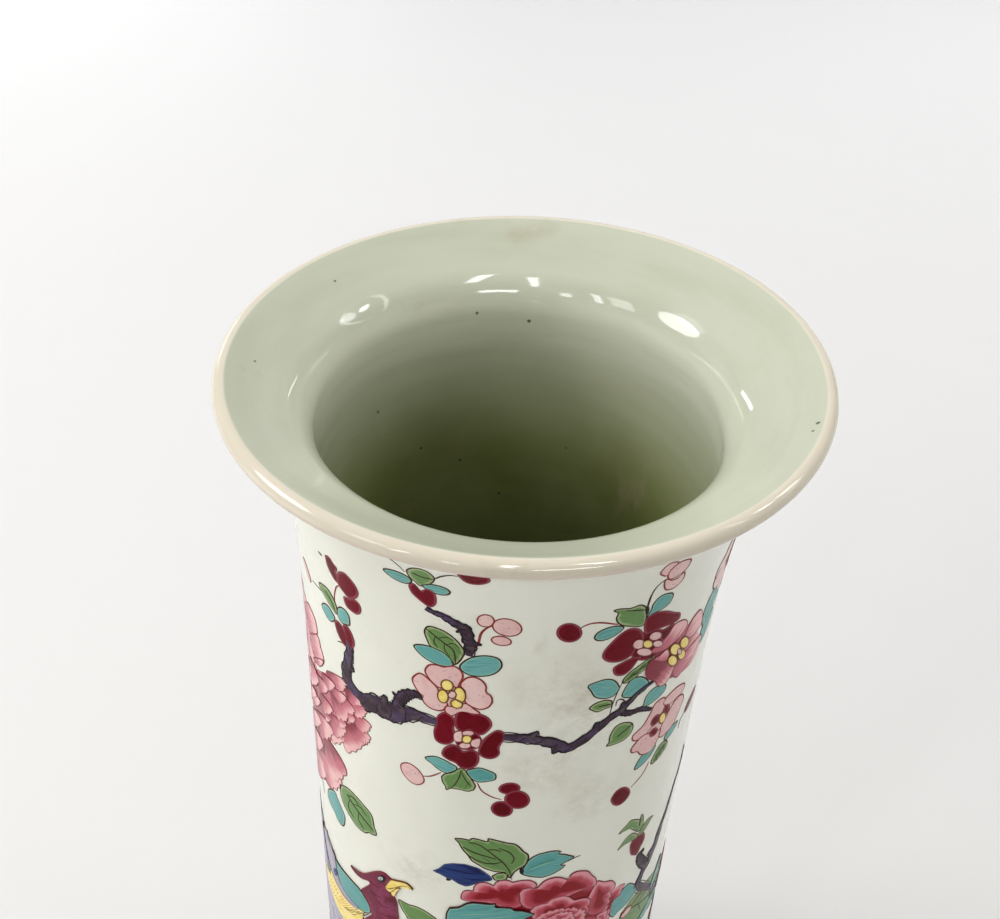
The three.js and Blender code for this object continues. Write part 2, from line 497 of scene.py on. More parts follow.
bead_middle = RIM_HEIGHT - LIP_RADIUS
bead = arc(LIP_CENTRE, bead_middle, LIP_RADIUS, LIP_RADIUS, -90, 90 + math.degrees(THROAT_SLOPE), 26)
cone_end = [(float(inside(h)), h) for h in heights(LIP_SEAT, CONE_TOP, 0.8)[::-1][1:]]
seat_corner = [(float(outside(LIP_SEAT)), LIP_SEAT)]
outlines = {
    "foot_ring": foot_outline,
    "base_floor": floor_outline,
    "lower_wall": lower_outline,
    "body_seam": seam_outline(BODY_SEAM_BOTTOM, BODY_SEAM_TOP),
    "upper_wall": wall_outline(BODY_SEAM_TOP, MOUTH_SEAM_BOTTOM, spacing=1.1),
    "mouth_seam": seam_outline(MOUTH_SEAM_BOTTOM, MOUTH_SEAM_TOP),
    "mouth_flare": wall_outline(MOUTH_SEAM_TOP, LIP_SEAT, spacing=0.45),
    "lip_roll": seat_corner + bead + cone_end,
}
print("outline corners:", {name: len(outline) for name, outline in outlines.items()})

# %% [markdown]
# A thrown wall is never quite even. Fingers leave low ridges that climb round the inside, so the inner corners move
# in and out by less than a tenth of a millimetre. Every corner also notes which side of the wall it is on and how
# far round the lip, for the glaze to read.

# %% Make the sections, with throwing ridges inside
LIP_BAND_START, LIP_BAND_WIDTH = 54, 3
sections = {}
for name, outline in outlines.items():
    section = turned("turned_" + name, outline)
    corners = corners_of(section)
    radius = np.hypot(corners[:, 0], corners[:, 1])
    angle = np.arctan2(corners[:, 0], -corners[:, 1])
    height = corners[:, 2]
    halfway = (inside(height) + outside(height)) / 2
    inner = (radius < halfway) & (height > FLOOR_TOP - 0.01)
    on_throat = inner & (np.abs(radius - THROAT_RADIUS) < 0.01)
    spiral = np.sin(2 * np.pi * height / THROWING_PITCH + angle) + 0.5 * np.sin(4.4 * height / THROWING_PITCH - angle)
    fade = np.clip((KNEE_BOTTOM - height) / 8, 0, 1)
    lift = np.where(on_throat, THROWING_RIDGE * spiral * fade, 0)
    moved = (radius + lift) / np.maximum(radius, 1e-6)
    corners[:, :2] *= moved[:, None]
    put_corners(section, corners)
    past_top = inner * np.clip((LIP_CENTRE - LIP_RADIUS * 0.1 - radius) / 0.5, 0, 1)
    put_shares(section, "wall_side", np.where(name == "lip_roll", past_top, inner))
    under_lip = np.clip((outside(height) - LIP_BAND_START) / LIP_BAND_WIDTH, 0, 1) * (1 - inner)
    put_shares(section, "lip_share", 1 - past_top if name == "lip_roll" else under_lip)
    put_shares(section, "slip_share", np.full(len(height), float("seam" in name)) * inner)
    section.data.materials.append(bare_clay if name == "foot_ring" else glaze)
    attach(section, "root")
    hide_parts(name)
    sections[name] = section
print("sections:", {name: len(section.data.polygons) for name, section in sections.items()})

# %% [markdown]
# ## Laying paint on a round wall
# The painting is thought of flat, as if the wall were unrolled: millimetres round from the front, and height. A
# point of the photograph gets there by following the camera's ray to the wall. The outlines that show were read
# from enlarged views, each named here with the corner that it starts from and how many times it was enlarged.


# %% From the photograph to the wall
MEETING_ROUNDS = 40


def seen(photo_x, photo_y):
    """Distance round from the front, and height, of the wall where a point of the photograph shows it."""
    ray = ray_through(np.asarray(photo_x, float)[..., None], np.asarray(photo_y, float)[..., None])
    squared = ray[..., 0] ** 2 + ray[..., 1] ** 2
    towards = EYE[0] * ray[..., 0] + EYE[1] * ray[..., 1]
    radius = np.full(squared.shape, float(BODY_RADIUS))
    for _ in range(MEETING_ROUNDS):
        beyond = np.maximum(towards**2 - squared * (EYE[0] ** 2 + EYE[1] ** 2 - radius**2), 0)
        spot = EYE + ray * ((-towards - np.sqrt(beyond)) / squared)[..., None]
        radius = (radius + outside(np.minimum(spot[..., 2], LIP_SEAT))) / 2
    return np.stack([BODY_RADIUS * np.arctan2(spot[..., 0], -spot[..., 1]), spot[..., 2]], -1)


def close_up(left, top, times):
    """A reader of points taken from an enlarged view of the photograph."""

    def read(points):
        points = np.asarray(points, float)
        return seen(left + points[..., 0] / times, top + points[..., 1] / times)

    return read


LEFT_VIEW = close_up(285, 540, 9.8)
TOP_VIEW = close_up(400, 560, 11.2)
MIDDLE_VIEW = close_up(390, 650, 9.8)
RIGHT_VIEW = close_up(540, 590, 8.711)
BIRD_VIEW = close_up(315, 815, 10.81)
HEART_VIEW = close_up(430, 815, 5.807)
PEONY_VIEW = close_up(440, 830, 7.84)
EDGE_VIEW = close_up(600, 740, 8.76)
RIM_VIEW = close_up(640, 530, 13.07)
SIDE_VIEW = close_up(285, 660, 7.84)
TWIG_VIEW = close_up(295, 560, 13.07)
PETAL_VIEW = close_up(300, 660, 11.2)
PHOTO = close_up(0, 0, 1)
print("bottom of the photograph shows the front at", PHOTO((500, 918)).round(1), "mm")


# %% From the flat sheet to the round wall
LOOP_POINTS = 161


def on_wall(flat, lift):
    """Corners in millimetres for points of the flat sheet, lifted off the glaze."""
    angle = flat[:, 0] / BODY_RADIUS
    radius = outside(np.minimum(flat[:, 1], LIP_SEAT)) + lift
    return np.column_stack([radius * np.sin(angle), -radius * np.cos(angle), flat[:, 1]])


def between(places, known, points):
    """Points of a line at new places along it, given the places of the known ones."""
    return np.column_stack([np.interp(places, known, points[:, k]) for k in (0, 1)])


def directions(line):
    """Which way a line runs at each of its points, and which way is across it."""
    heading = np.gradient(line, axis=0)
    heading /= np.maximum(np.hypot(*heading.T), 1e-9)[:, None]
    return heading, np.column_stack([-heading[:, 1], heading[:, 0]])


def smooth(points, count, closed=True, rounded=True):
    """A curve through the points, as evenly spaced points."""
    points = np.asarray(points, float)
    if closed:
        frame_points = np.vstack([points[-1:], points, points[:2]])
        spans = len(points)
    else:
        frame_points = np.vstack([2 * points[:1] - points[1:2], points, 2 * points[-1:] - points[-2:-1]])
        spans = len(points) - 1
    place = np.linspace(0, spans, spans * 10 + 1)
    step = np.minimum(place.astype(int), spans - 1)
    part = (place - step)[:, None]
    a, b, c, d = (frame_points[step + k] for k in range(4))
    if rounded:
        cubic = 1.5 * (b - c) + (d - a) / 2
        curve = b + part * (c - a) / 2 + part**2 * (a - 2.5 * b + 2 * c - d / 2) + part**3 * cubic
    else:
        curve = b + part * (c - b)
    run = np.concatenate([[0], np.cumsum(np.hypot(*np.diff(curve, axis=0).T))])
    return between(np.linspace(0, run[-1], count), run, curve)


# %% [markdown]
# ## One dab and one stroke of enamel
# Famille-rose enamels are opaque glass, brushed on and melted in a second firing. Each dab stands a little proud of
# the glaze and domes towards its middle, and each line is a low rounded thread. Both are modelled once: a cylinder
# whose top is inset and lifted in rings, and a six-sided bar cut across many times. Every petal, leaf and line is
# then a copy with its own mesh, fitted to an outline.

# %% The blank dab and the blank stroke
def start_blank(name, sides, mode, turn=(0, 0, 0)):
    """A cylinder with nothing selected, ready for faces or edges to be picked."""
    deselect_all()
    bpy.ops.mesh.primitive_cylinder_add(vertices=sides, radius=1, depth=1, rotation=turn)
    blank = bpy.context.object
    blank.name = name
    bpy.ops.object.transform_apply(location=True, rotation=True, scale=True)
    bpy.ops.object.mode_set(mode="EDIT")
    bpy.ops.mesh.select_mode(type=mode)
    bpy.ops.mesh.select_all(action="DESELECT")
    bpy.ops.object.mode_set(mode="OBJECT")
    return blank


def blank_dab(name, sides, rings):
    """A disc whose top is domed in rings, each given as how far it goes in and how far it rises."""
    blank = start_blank(name, sides, "FACE")
    for face in blank.data.polygons:
        face.select = face.normal.z > 0.5
    bpy.ops.object.mode_set(mode="EDIT")
    for inwards, rise in rings:
        bpy.ops.mesh.inset(thickness=inwards, depth=0)
        bpy.ops.transform.translate(value=(0, 0, rise))
    bpy.ops.mesh.poke(offset=0.06)
    bpy.ops.object.mode_set(mode="OBJECT")
    return blank


def blank_stroke(name, sides, cuts):
    """A bar along X, cut across evenly."""
    blank = start_blank(name, sides, "EDGE", (0, math.radians(90), 0))
    for edge in blank.data.edges:
        ends = [blank.data.vertices[v].co.x for v in edge.vertices]
        edge.select = abs(ends[0] - ends[1]) > 0.5
    bpy.ops.object.mode_set(mode="EDIT")
    bpy.ops.mesh.subdivide(number_cuts=cuts)
    bpy.ops.object.mode_set(mode="OBJECT")
    return blank


DOME_RINGS = [(0.06, 0.34), (0.12, 0.28), (0.24, 0.2), (0.28, 0.1)]
big_dab = blank_dab("blank_big_dab", 44, DOME_RINGS)
fine_dab = blank_dab("blank_fine_dab", 88, DOME_RINGS)
small_dab = blank_dab("blank_small_dab", 16, [(0.16, 0.5), (0.36, 0.38)])
short_stroke = blank_stroke("blank_short_line", 6, 4)
line_stroke = blank_stroke("blank_line", 6, 13)
long_stroke = blank_stroke("blank_long_line", 6, 43)
fine_stroke = blank_stroke("blank_fine_line", 6, 87)
wide_stroke = blank_stroke("blank_branch", 14, 63)
ALL_BLANKS = (big_dab, fine_dab, small_dab, short_stroke, line_stroke, long_stroke, fine_stroke, wide_stroke)
BLANKS = {blank.name: corners_of(blank) * MM for blank in ALL_BLANKS}
print("faces:", {blank.name: len(blank.data.polygons) for blank in ALL_BLANKS})

# %% [markdown]
# A dab's rings become scaled copies of an outline, and a stroke's sections are strung along a path. Each copy has
# four numbers on its corners for the colours to follow: how far in from the edge in millimetres, how far along
# from base to tip, how far to the side, and a shade of its own.

# %% Fit a dab to an outline and a stroke to a path
LAYER = 0.028
SUNK = -0.05
RELIEF = 0.07
LINE_RELIEF = 0.03
painting = {}
shades = np.random.default_rng(11)


def lay(colour, blank, flat, lift, edge, along, beside):
    """Keep a fitted copy of a blank with the others of its colour."""
    copy = bpy.data.objects.new("paint", blank.data.copy())
    bpy.context.scene.collection.objects.link(copy)
    put_corners(copy, on_wall(flat, lift))
    for name, values in (("edge", edge), ("along", along), ("beside", beside)):
        put_shares(copy, name, values)
    put_shares(copy, "shade", np.full(len(flat), shades.random()))
    painting.setdefault(colour, []).append(copy)


def dab(colour, outline, layer=1.0, base=None, tip=None, relief=RELIEF, small=False, rounded=True, blank=None):
    blank = blank or (small_dab if small else big_dab)
    own = BLANKS[blank.name]
    loop = smooth(outline, LOOP_POINTS, True, rounded)
    cross = loop[:-1, 0] * loop[1:, 1] - loop[1:, 0] * loop[:-1, 1]
    if cross.sum() < 0:
        loop = loop[::-1]
        cross = loop[:-1, 0] * loop[1:, 1] - loop[1:, 0] * loop[:-1, 1]
    middle = ((loop[:-1] + loop[1:]) * cross[:, None]).sum(0) / (3 * cross.sum())
    share = (np.arctan2(own[:, 1], own[:, 0]) / (2 * np.pi)) % 1
    ring = np.minimum(np.hypot(own[:, 0], own[:, 1]), 1)
    border = between(share, np.linspace(0, 1, LOOP_POINTS), loop)
    flat = middle + ring[:, None] * (border - middle)
    reach = np.hypot(*(border - middle).T)
    rise = np.clip(own[:, 2] - 0.5, 0, 1)
    dome = relief * min(1, reach.mean() / 1.2)
    lift = np.where(own[:, 2] < 0, SUNK, layer * LAYER + rise * dome)
    if base is None:
        along, beside = ring, 2 * share - 1
    else:
        base, tip = np.asarray(base, float), np.asarray(tip, float)
        length = np.hypot(*(tip - base))
        ahead_flat = (tip - base) / length
        along = ((flat - base) @ ahead_flat) / length
        beside = ((flat - base) @ np.array([-ahead_flat[1], ahead_flat[0]])) / length
    lay(colour, blank, flat, lift, (1 - ring) * reach, along, beside)


def stroke(colour, path, width=0.42, layer=2.0, thick=LINE_RELIEF, taper=0.5, closed=False, blank=None, rounded=True):
    """A line of enamel along a path. The width may be one number or one for each point of the path."""
    path = np.asarray(path, float)
    if blank is None:
        blank = long_stroke if closed or len(path) > 7 else line_stroke if len(path) > 3 else short_stroke
    own = BLANKS[blank.name]
    line = smooth(path, LOOP_POINTS, closed, rounded)
    if closed:
        line = np.vstack([line, line[1:6]])
    share = np.linspace(0, 1, len(line))
    u = own[:, 0] + 0.5
    middle, turn = (between(u, share, values) for values in (line, directions(line)[0]))
    widths = np.interp(u, np.linspace(0, 1, np.size(width)), np.atleast_1d(width))
    ends = 1 if closed else 1 - taper * np.abs(2 * u - 1) ** 3
    half = widths * ends / 2
    sideways = own[:, 1]
    flat = middle + np.column_stack([-turn[:, 1], turn[:, 0]]) * (sideways * half)[:, None]
    lift = np.where(own[:, 2] < -0.1, SUNK, layer * LAYER + own[:, 2] * thick)
    lay(colour, blank, flat, lift, (1 - np.abs(sideways)) * half, u, sideways)


print("brushes ready")

# %% [markdown]
# ## The enamels' colours
# Pink is opaque and speckled. Ruby is deep in the middle and bleeds to pink at its edge. The peony's rose runs from
# ruby at a petal's base to nearly white at its tip, in streaks of a damp brush. The greens and turquoise are glassy
# and thin, so they pale at the edge, where the glaze shows through.


# %% Enamel finishes
CORNER_NUMBERS = ("edge", "along", "beside", "shade")


class Enamel:
    """What an enamel's colour can follow: its place, and the four numbers on each corner."""

    def __init__(self, maker, places):
        self.maker, self.places = maker, places
        self.edge, self.along, self.beside, self.shade = (maker.stored(name) for name in CORNER_NUMBERS)

    def patches(self, scale, start, end, detail=2, roughness=0.6):
        """Soft patches, 1 where the noise is high."""
        return self.maker.noise(self.places, scale, detail, roughness).rising(start, end)

    def streaks(self, fineness):
        """Long brush streaks that run from base to tip."""
        sides = {"X": self.beside * fineness, "Y": self.along * 1.3, "Z": self.shade * 37}
        return self.maker.noise(self.maker.node("ShaderNodeCombineXYZ", None, 0, **sides), 1, 3, 0.6)

    def rim(self, start, end, colour, at_edge):
        """A colour that turns into another at the edge of the dab. The two distances are in millimetres."""
        return (1 - self.edge.rising(start, end)).blend(colour, at_edge)


def enamel(name, colour_of, roughness=0.18, shine=0.13):
    finish, maker, places, connect = new_finish(name, Roughness=roughness, IOR=1.5, Specular_IOR_Level=shine)
    pits = maker.noise(places, 900, 2, 0.6)
    colour = colour_of(Enamel(maker, places))
    connect(Base_Color=colour, Normal=maker.bump(pits, 0.3, 0.05), Roughness=roughness + pits * 0.12)
    return finish


def pink_colour(paint):
    base = paint.shade.blend((232, 190, 186), (238, 202, 196))
    base = (paint.patches(260, 0.45, 0.7) * 0.5).blend(base, (222, 172, 170))
    cells = paint.maker.node("ShaderNodeTexVoronoi", None, 0, Vector=paint.places, Scale=1400.0)
    dots = 1 - cells.rising(0.14, 0.3)
    return (dots * paint.patches(330, 0.44, 0.56, 1, 0.5) * 0.6).blend(base, (146, 86, 124))


def ruby_colour(paint):
    deep = paint.shade.blend((92, 0, 8), (114, 0, 22))
    mottled = (paint.patches(420, 0.42, 0.72, 3) * 0.4).blend(deep, (128, 6, 38))
    return paint.rim(0.1, 0.6, mottled, (150, 70, 84))


def plum_colour(paint):
    deep = paint.patches(60, 0.4, 0.6, 2, 0.5).blend((92, 18, 34), (116, 34, 62))
    return (paint.patches(150, 0.5, 0.66, 3) * 0.6).blend(deep, (146, 62, 100))


def rose_colour(paint):
    depth = (1 - paint.along) + (paint.streaks(22.0) - 0.5) * 0.6
    colour = depth.rising(0.1, 0.4).blend((238, 184, 182), (198, 106, 120))
    return depth.rising(0.4, 0.8).blend(colour, (136, 30, 50))


def deep_rose_colour(paint):
    """Pale at the scalloped edge, and rosier, then ruby, further in."""
    wash = (paint.streaks(12.0) - 0.5) * 0.25
    depth = paint.edge * 0.19 + (1 - paint.along) * 0.34 - 0.17 + wash
    colour = depth.rising(0.0, 0.34).blend((226, 154, 162), (186, 70, 86))
    return depth.rising(0.34, 0.72).blend(colour, (140, 8, 24))


def turquoise_colour(paint):
    base = paint.shade.blend((86, 158, 154), (112, 176, 172))
    base = (paint.streaks(18.0).rising(0.5, 0.68) * 0.6).blend(base, (56, 132, 130))
    return paint.rim(0.2, 0.7, base, (134, 188, 168))


def green_colour(paint):
    body = (1 - paint.edge.rising(0.1, 1.1)) + (paint.streaks(16.0) - 0.5) * 0.8
    colour = body.rising(0.1, 0.8).blend((104, 142, 78), (156, 176, 122))
    return (paint.streaks(30.0).rising(0.54, 0.7) * 0.6).blend(colour, (58, 94, 40))


def blue_colour(paint):
    colour = paint.streaks(12.0).rising(0.38, 0.62).blend((8, 22, 76), (34, 58, 116))
    return paint.rim(0.0, 0.35, colour, (66, 78, 118))


def yellow_colour(paint):
    colour = paint.patches(500, 0.4, 0.7, 2, 0.5).blend((250, 228, 140), (240, 208, 96))
    return paint.rim(0.05, 0.35, colour, (214, 168, 50))


def bark_colour(paint):
    colour = paint.patches(190, 0.42, 0.6, 3).blend((62, 44, 56), (82, 64, 94))
    colour = (paint.patches(520, 0.5, 0.7) * 0.7).blend(colour, (92, 80, 82))
    return paint.rim(0.0, 0.35, colour, (34, 24, 30))


def lilac_colour(paint):
    colour = paint.streaks(20.0).rising(0.4, 0.65).blend((176, 168, 182), (134, 126, 156))
    return paint.rim(0.0, 0.4, colour, (120, 112, 130))


def plain_line(red, green, blue):
    """A line's colour, a little paler where it is worn."""

    def colour(paint):
        worn = (red + 45, green + 40, blue + 32)
        return (paint.patches(700, 0.5, 0.8) * 0.25).blend((red, green, blue), worn)

    return colour


FINISHES = {
    "pink": (enamel("pink_enamel", pink_colour), "pink_enamel"),
    "ruby": (enamel("ruby_enamel", ruby_colour, shine=0.04), "ruby_enamel"),
    "plum": (enamel("plum_enamel", plum_colour, shine=0.05), "ruby_enamel"),
    "rose": (enamel("rose_enamel", rose_colour), "pink_enamel"),
    "deep rose": (enamel("deep_rose_enamel", deep_rose_colour, shine=0.06), "ruby_enamel"),
    "turquoise": (enamel("turquoise_enamel", turquoise_colour), "turquoise_enamel"),
    "green": (enamel("green_enamel", green_colour), "green_enamel"),
    "blue": (enamel("blue_enamel", blue_colour, shine=0.06), "blue_enamel"),
    "yellow": (enamel("yellow_enamel", yellow_colour), "yellow_enamel"),
    "bark": (enamel("aubergine_enamel", bark_colour, shine=0.06), "aubergine_enamel"),
    "lilac": (enamel("lilac_enamel", lilac_colour), "aubergine_enamel"),
    "brown line": (enamel("brown_line", plain_line(62, 32, 28), 0.35, shine=0.06), "line_enamel"),
    "black line": (enamel("black_line", plain_line(32, 24, 28), 0.35, shine=0.06), "line_enamel"),
    "red line": (enamel("iron_red_line", plain_line(138, 44, 36), 0.35), "line_enamel"),
    "amber line": (enamel("amber_line", plain_line(106, 66, 26), 0.35), "line_enamel"),
    "rose line": (enamel("rose_line", plain_line(122, 40, 54), 0.35), "line_enamel"),
    "eye white": (enamel("eye_white", plain_line(188, 196, 190), 0.2), "turquoise_enamel"),
}
print("enamels:", ", ".join(FINISHES))

# %% [markdown]
# ## Leaves, petals and buds
# A painter of such vases repeats a few forms with a loaded brush: a two-lobed petal, a saw-edged leaf, an oval bud.
# Each is a small function of where it starts, where it ends and how wide it is. Where the photograph shows a flower
# well, its own outlines are used instead.


# %% Small forms that are used again and again
def along_to(base, tip, points, width):
    """Place points given as shares along and across onto the line from base to tip."""
    base, tip = np.asarray(base, float), np.asarray(tip, float)
    line = tip - base
    across = np.array([-line[1], line[0]]) / np.hypot(*line) * width
    points = np.asarray(points, float)
    return base + points[:, :1] * line + points[:, 1:] * across


TWO_LOBED = [(0, 0), (0.25, -0.28), (0.55, -0.5), (0.85, -0.5), (1, -0.3), (0.98, -0.1), (0.9, 0),
             (0.98, 0.1), (1, 0.3), (0.85, 0.5), (0.55, 0.5), (0.25, 0.28)]
OVAL = [(0, 0), (0.12, -0.34), (0.45, -0.5), (0.8, -0.36), (1, 0), (0.8, 0.36), (0.45, 0.5), (0.12, 0.34)]
FRILLED = [(0, 0), (0.2, -0.2), (0.55, -0.42), (0.82, -0.5), (0.95, -0.4), (0.91, -0.27), (1, -0.14), (0.95, 0),
           (1.02, 0.13), (0.92, 0.26), (0.96, 0.4), (0.82, 0.5), (0.55, 0.42), (0.2, 0.2)]

LINE_ROUND = {
    "pink": "red line", "ruby": "rose line", "plum": "rose line", "rose": "rose line", "deep rose": "rose line",
    "turquoise": "brown line", "green": "brown line", "lilac": "brown line", "yellow": "amber line", "blue": "blue",
}
MANY_POINTS = 18


def outlined(colour, outline, layer=1.0, width=0.42, base=None, tip=None, relief=RELIEF, rounded=True, line=None):
    """A dab with a drawn edge, on finer blanks when the outline has many points."""
    many = len(outline) > MANY_POINTS
    dab(colour, outline, layer, base, tip, relief, rounded=rounded, blank=fine_dab if many else None)
    line = line or LINE_ROUND[colour]
    stroke(line, outline, width, layer + 0.6, closed=True, rounded=rounded, blank=fine_stroke if many else None)


def traced(view, colour, outline, layer=1.0, width=0.42, base=None, tip=None, **looks):
    """An outlined dab whose outline, base and tip are read in one enlarged view."""
    ends = (view(base), view(tip)) if base else (None, None)
    outlined(colour, view(outline), layer, width, *ends, **looks)


def bud(colour, base, tip, width, layer=1.0, line=None):
    outline = along_to(base, tip, OVAL, width)
    dab(colour, outline, layer, base, tip)
    if line:
        stroke(line, outline, 0.36, layer + 0.6, closed=True)


def saw_edge(teeth):
    """Outline of a leaf, if wanted with teeth towards its tip, as shares along and across."""
    side = []
    for step in np.linspace(0.06, 0.94, 12):
        half = 0.5 * math.sin(math.pi * step**0.8) ** 0.58
        side.append((step, half))
        if teeth and step > 0.35:
            side.append((step + 0.015, half * 0.8))
    return [(0, 0)] + [(a, -b) for a, b in side] + [(1, 0)] + side[::-1]


def bent(points, bend):
    """Bow points that are given as shares along and across."""
    return [(a, b + bend * 4 * a * (1 - a)) for a, b in points]


def leaf(colour, base, tip, width, bend=0.0, layer=1.0, line="brown line"):
    """A leaf from base to tip, bowed to one side by a share of its width. Green ones have teeth and veins."""
    toothed = colour == "green"
    edge = bent(saw_edge(toothed), bend)
    outline = along_to(base, tip, edge, width)
    dab(colour, outline, layer, base, tip, rounded=not toothed)
    stroke(line, outline, 0.38, layer + 0.6, closed=True, rounded=not toothed)
    spine = along_to(base, tip, bent([(0, 0), (0.3, 0), (0.6, 0), (0.88, 0)], bend), width)
    stroke(line if toothed else colour, spine, 0.28, layer + 3, taper=0.7)
    if toothed:
        for start, side in ((0.18, 1), (0.26, -1), (0.42, 1), (0.5, -1), (0.64, 1)):
            vein = bent([(start, 0), (start + 0.1, 0.16 * side), (start + 0.2, 0.27 * side)], bend)
            stroke(line, along_to(base, tip, vein, width), 0.22, layer + 2.8, taper=0.8)


def around(middle, radius, degrees, squash=1.0):
    """A point at a distance and an angle from a middle. 0 degrees is to the right, 90 is up."""
    a = math.radians(degrees)
    return np.asarray(middle, float) + radius * np.array([math.cos(a) * squash, math.sin(a)])


def blossom(kind, middle, radius, turn=0.0, layer=1.0):
    """An open flower of five two-lobed petals round a yellow heart."""
    line = "brown line" if kind == "pink" else "rose line"
    for number in (0, 2, 4, 1, 3):
        angle = turn + 72 * number
        base, tip = (around(middle, reach, angle) for reach in (radius * 0.12, radius))
        outline = along_to(base, tip, TWO_LOBED, radius * 1.16)
        lift = layer + 0.5 * (number in (1, 3))
        dab(kind, outline, lift, base, tip)
        stroke(line, outline, 0.34 if kind == "pink" else 0.22, lift + 0.6, closed=True)
        if kind == "ruby":
            inner = along_to(base, around(middle, radius * 0.5, angle), TWO_LOBED, radius * 0.44)
            dab("pink", inner, layer + 3.5, base, tip, small=True)
    for number in range(4):
        place = around(middle, radius * 0.17, turn + 45 + 90 * number)
        lobe = [around(place, radius * 0.14, 45 * k) for k in range(8)]
        dab("yellow", lobe, layer + 5, small=True)
        stroke("brown line", lobe, 0.2, layer + 5.4, closed=True, blank=line_stroke)
    for number in range(10):
        start, end = (around(middle, radius * share, turn + 36 * number) for share in (0.32, 0.5))
        stroke("brown line", [start, (start + end) / 2, end], 0.2, layer + 4.4)
        dab("yellow", [around(end, 0.22, 60 * k) for k in range(6)], layer + 4.6, small=True)


def stem(path, width=0.38, line="red line", layer=1.2):
    stroke(line, path, width, layer)


BRANCH_POINTS = 61


def branch(path, widths, layer=1.0, knobs=()):
    """A bough of aubergine bark with a black edge on both sides, knots and small marks across it."""
    stroke("bark", path, widths, layer, 0.1, 0.25, blank=wide_stroke)
    line = smooth(path, BRANCH_POINTS, False)
    heading, sideways = directions(line)
    half = np.interp(np.linspace(0, 1, BRANCH_POINTS), np.linspace(0, 1, np.size(widths)), widths) / 2
    numbers = np.arange(BRANCH_POINTS)
    wander = 1 + 0.12 * np.sin(numbers * 0.9) + 0.1 * np.sin(numbers * 2.3)
    for side in (-1, 1):
        stroke("black line", line + sideways * (side * half * wander)[:, None], 0.4, layer + 1.5, blank=long_stroke)
    for place in range(5, 57, 6):
        reach = half[place] * 0.75
        start = line[place] - sideways[place] * reach
        end = line[place + 2] + sideways[place] * reach * 0.2
        stroke("black line", [start, (start + end) / 2 + heading[place] * 0.15, end], 0.24, layer + 4)
    for place, side, length in knobs:
        root = line[place] + sideways[place] * side * half[place] * 0.7
        end = line[place] + sideways[place] * side * (half[place] + length) + heading[place] * length * 0.5
        stroke("bark", [root, (root + end) / 2, end], [length * 1.2, length, length * 0.7], layer + 0.3, 0.08, 0.2)
        over = [line[place + shift] + sideways[place] * side * half[place] for shift in (-2, 2)]
        stroke("black line", [over[0], end, over[1]], 0.3, layer + 2)


PEONY_ROWS = [(1.0, 11, 0.62), (0.8, 9, 0.56), (0.6, 8, 0.46), (0.4, 6, 0.38), (0.22, 4, 0.26)]


def peony(middle, radius, turn=0.0, layer=1.0, rows=PEONY_ROWS, colour="rose", sector=(0, 360)):
    """A full peony: rings of frilled petals that grow smaller and rise towards the heart.

    Each row gives its petals' reach, their number and their breadth, as shares of the radius.
    """
    for ring, (reach, count, broad) in enumerate(rows):
        for number in range(count):
            angle = turn + ring * 17 + 360 * number / count + 6 * math.sin(number * 2.4 + ring)
            if not sector[0] <= angle % 360 <= sector[1]:
                continue
            stretch = radius * reach * (1 + 0.07 * math.sin(number * 3.1 + ring * 1.7))
            base, tip = (around(middle, length, angle) for length in (stretch * 0.2, stretch))
            outline = along_to(base, tip, FRILLED, radius * broad)
            lift = layer + ring * 1.2 + 0.5 * (number % 2)
            dab(colour, outline, lift, base, tip)
            stroke("rose line", outline[3:12], 0.3, lift + 0.7)


print("forms ready: leaf, bud, blossom, branch, peony")

# %% [markdown]
# ## The flowering branch across the front
# A boughed branch of blossom crosses the front. Its flowers are drawn petal by petal from their own outlines,
# because their shapes are what the eye knows the vase by. Points are in the enlarged view's own measure.


# %% Ovals and shapes read from enlarged views
def pairs(*numbers):
    """A path or an outline, from its points' places across and down in turn."""
    return list(zip(numbers[::2], numbers[1::2]))


def oval(view, centre_x, centre_y, half_wide, half_tall, tilt=0, points=10):
    """An oval read from an enlarged view."""
    angles = np.radians(np.arange(points) * 360 / points)
    x, y = half_wide * np.cos(angles), half_tall * np.sin(angles)
    turn = math.radians(tilt)
    across = centre_x + x * math.cos(turn) - y * math.sin(turn)
    down = centre_y + x * math.sin(turn) + y * math.cos(turn)
    return view(np.column_stack([across, down]))


def hearts(view, colour, ovals, layer, line=None):
    line = line or LINE_ROUND[colour]
    for values in ovals:
        shape = oval(view, *values)
        dab(colour, shape, layer, relief=0.04, small=True)
        stroke(line, shape, 0.24 if line == "rose line" else 0.3, layer + 0.6, closed=True, blank=long_stroke)


def ground(view, colour, outline, layer, base=None, tip=None):
    """The flat wash that shows between a flower's petals."""
    ends = (view(base), view(tip)) if base else (None, None)
    dab(colour, view(outline), layer, *ends, relief=0.02)


def traced_petals(view, colour, petals, heart, layer=2.0, width=0.4, spread=1.0, line=None):
    """Petals from their outlines, shaded from the flower's heart outwards."""
    base = view(heart)
    for number, outline in enumerate(petals.values()):
        shape = view(outline)
        shape = shape.mean(axis=0) + (shape - shape.mean(axis=0)) * spread
        tip = shape[np.argmax(np.hypot(*(shape - base).T))]
        outlined(colour, shape, layer + 0.4 * number, width, base, tip, line=line)


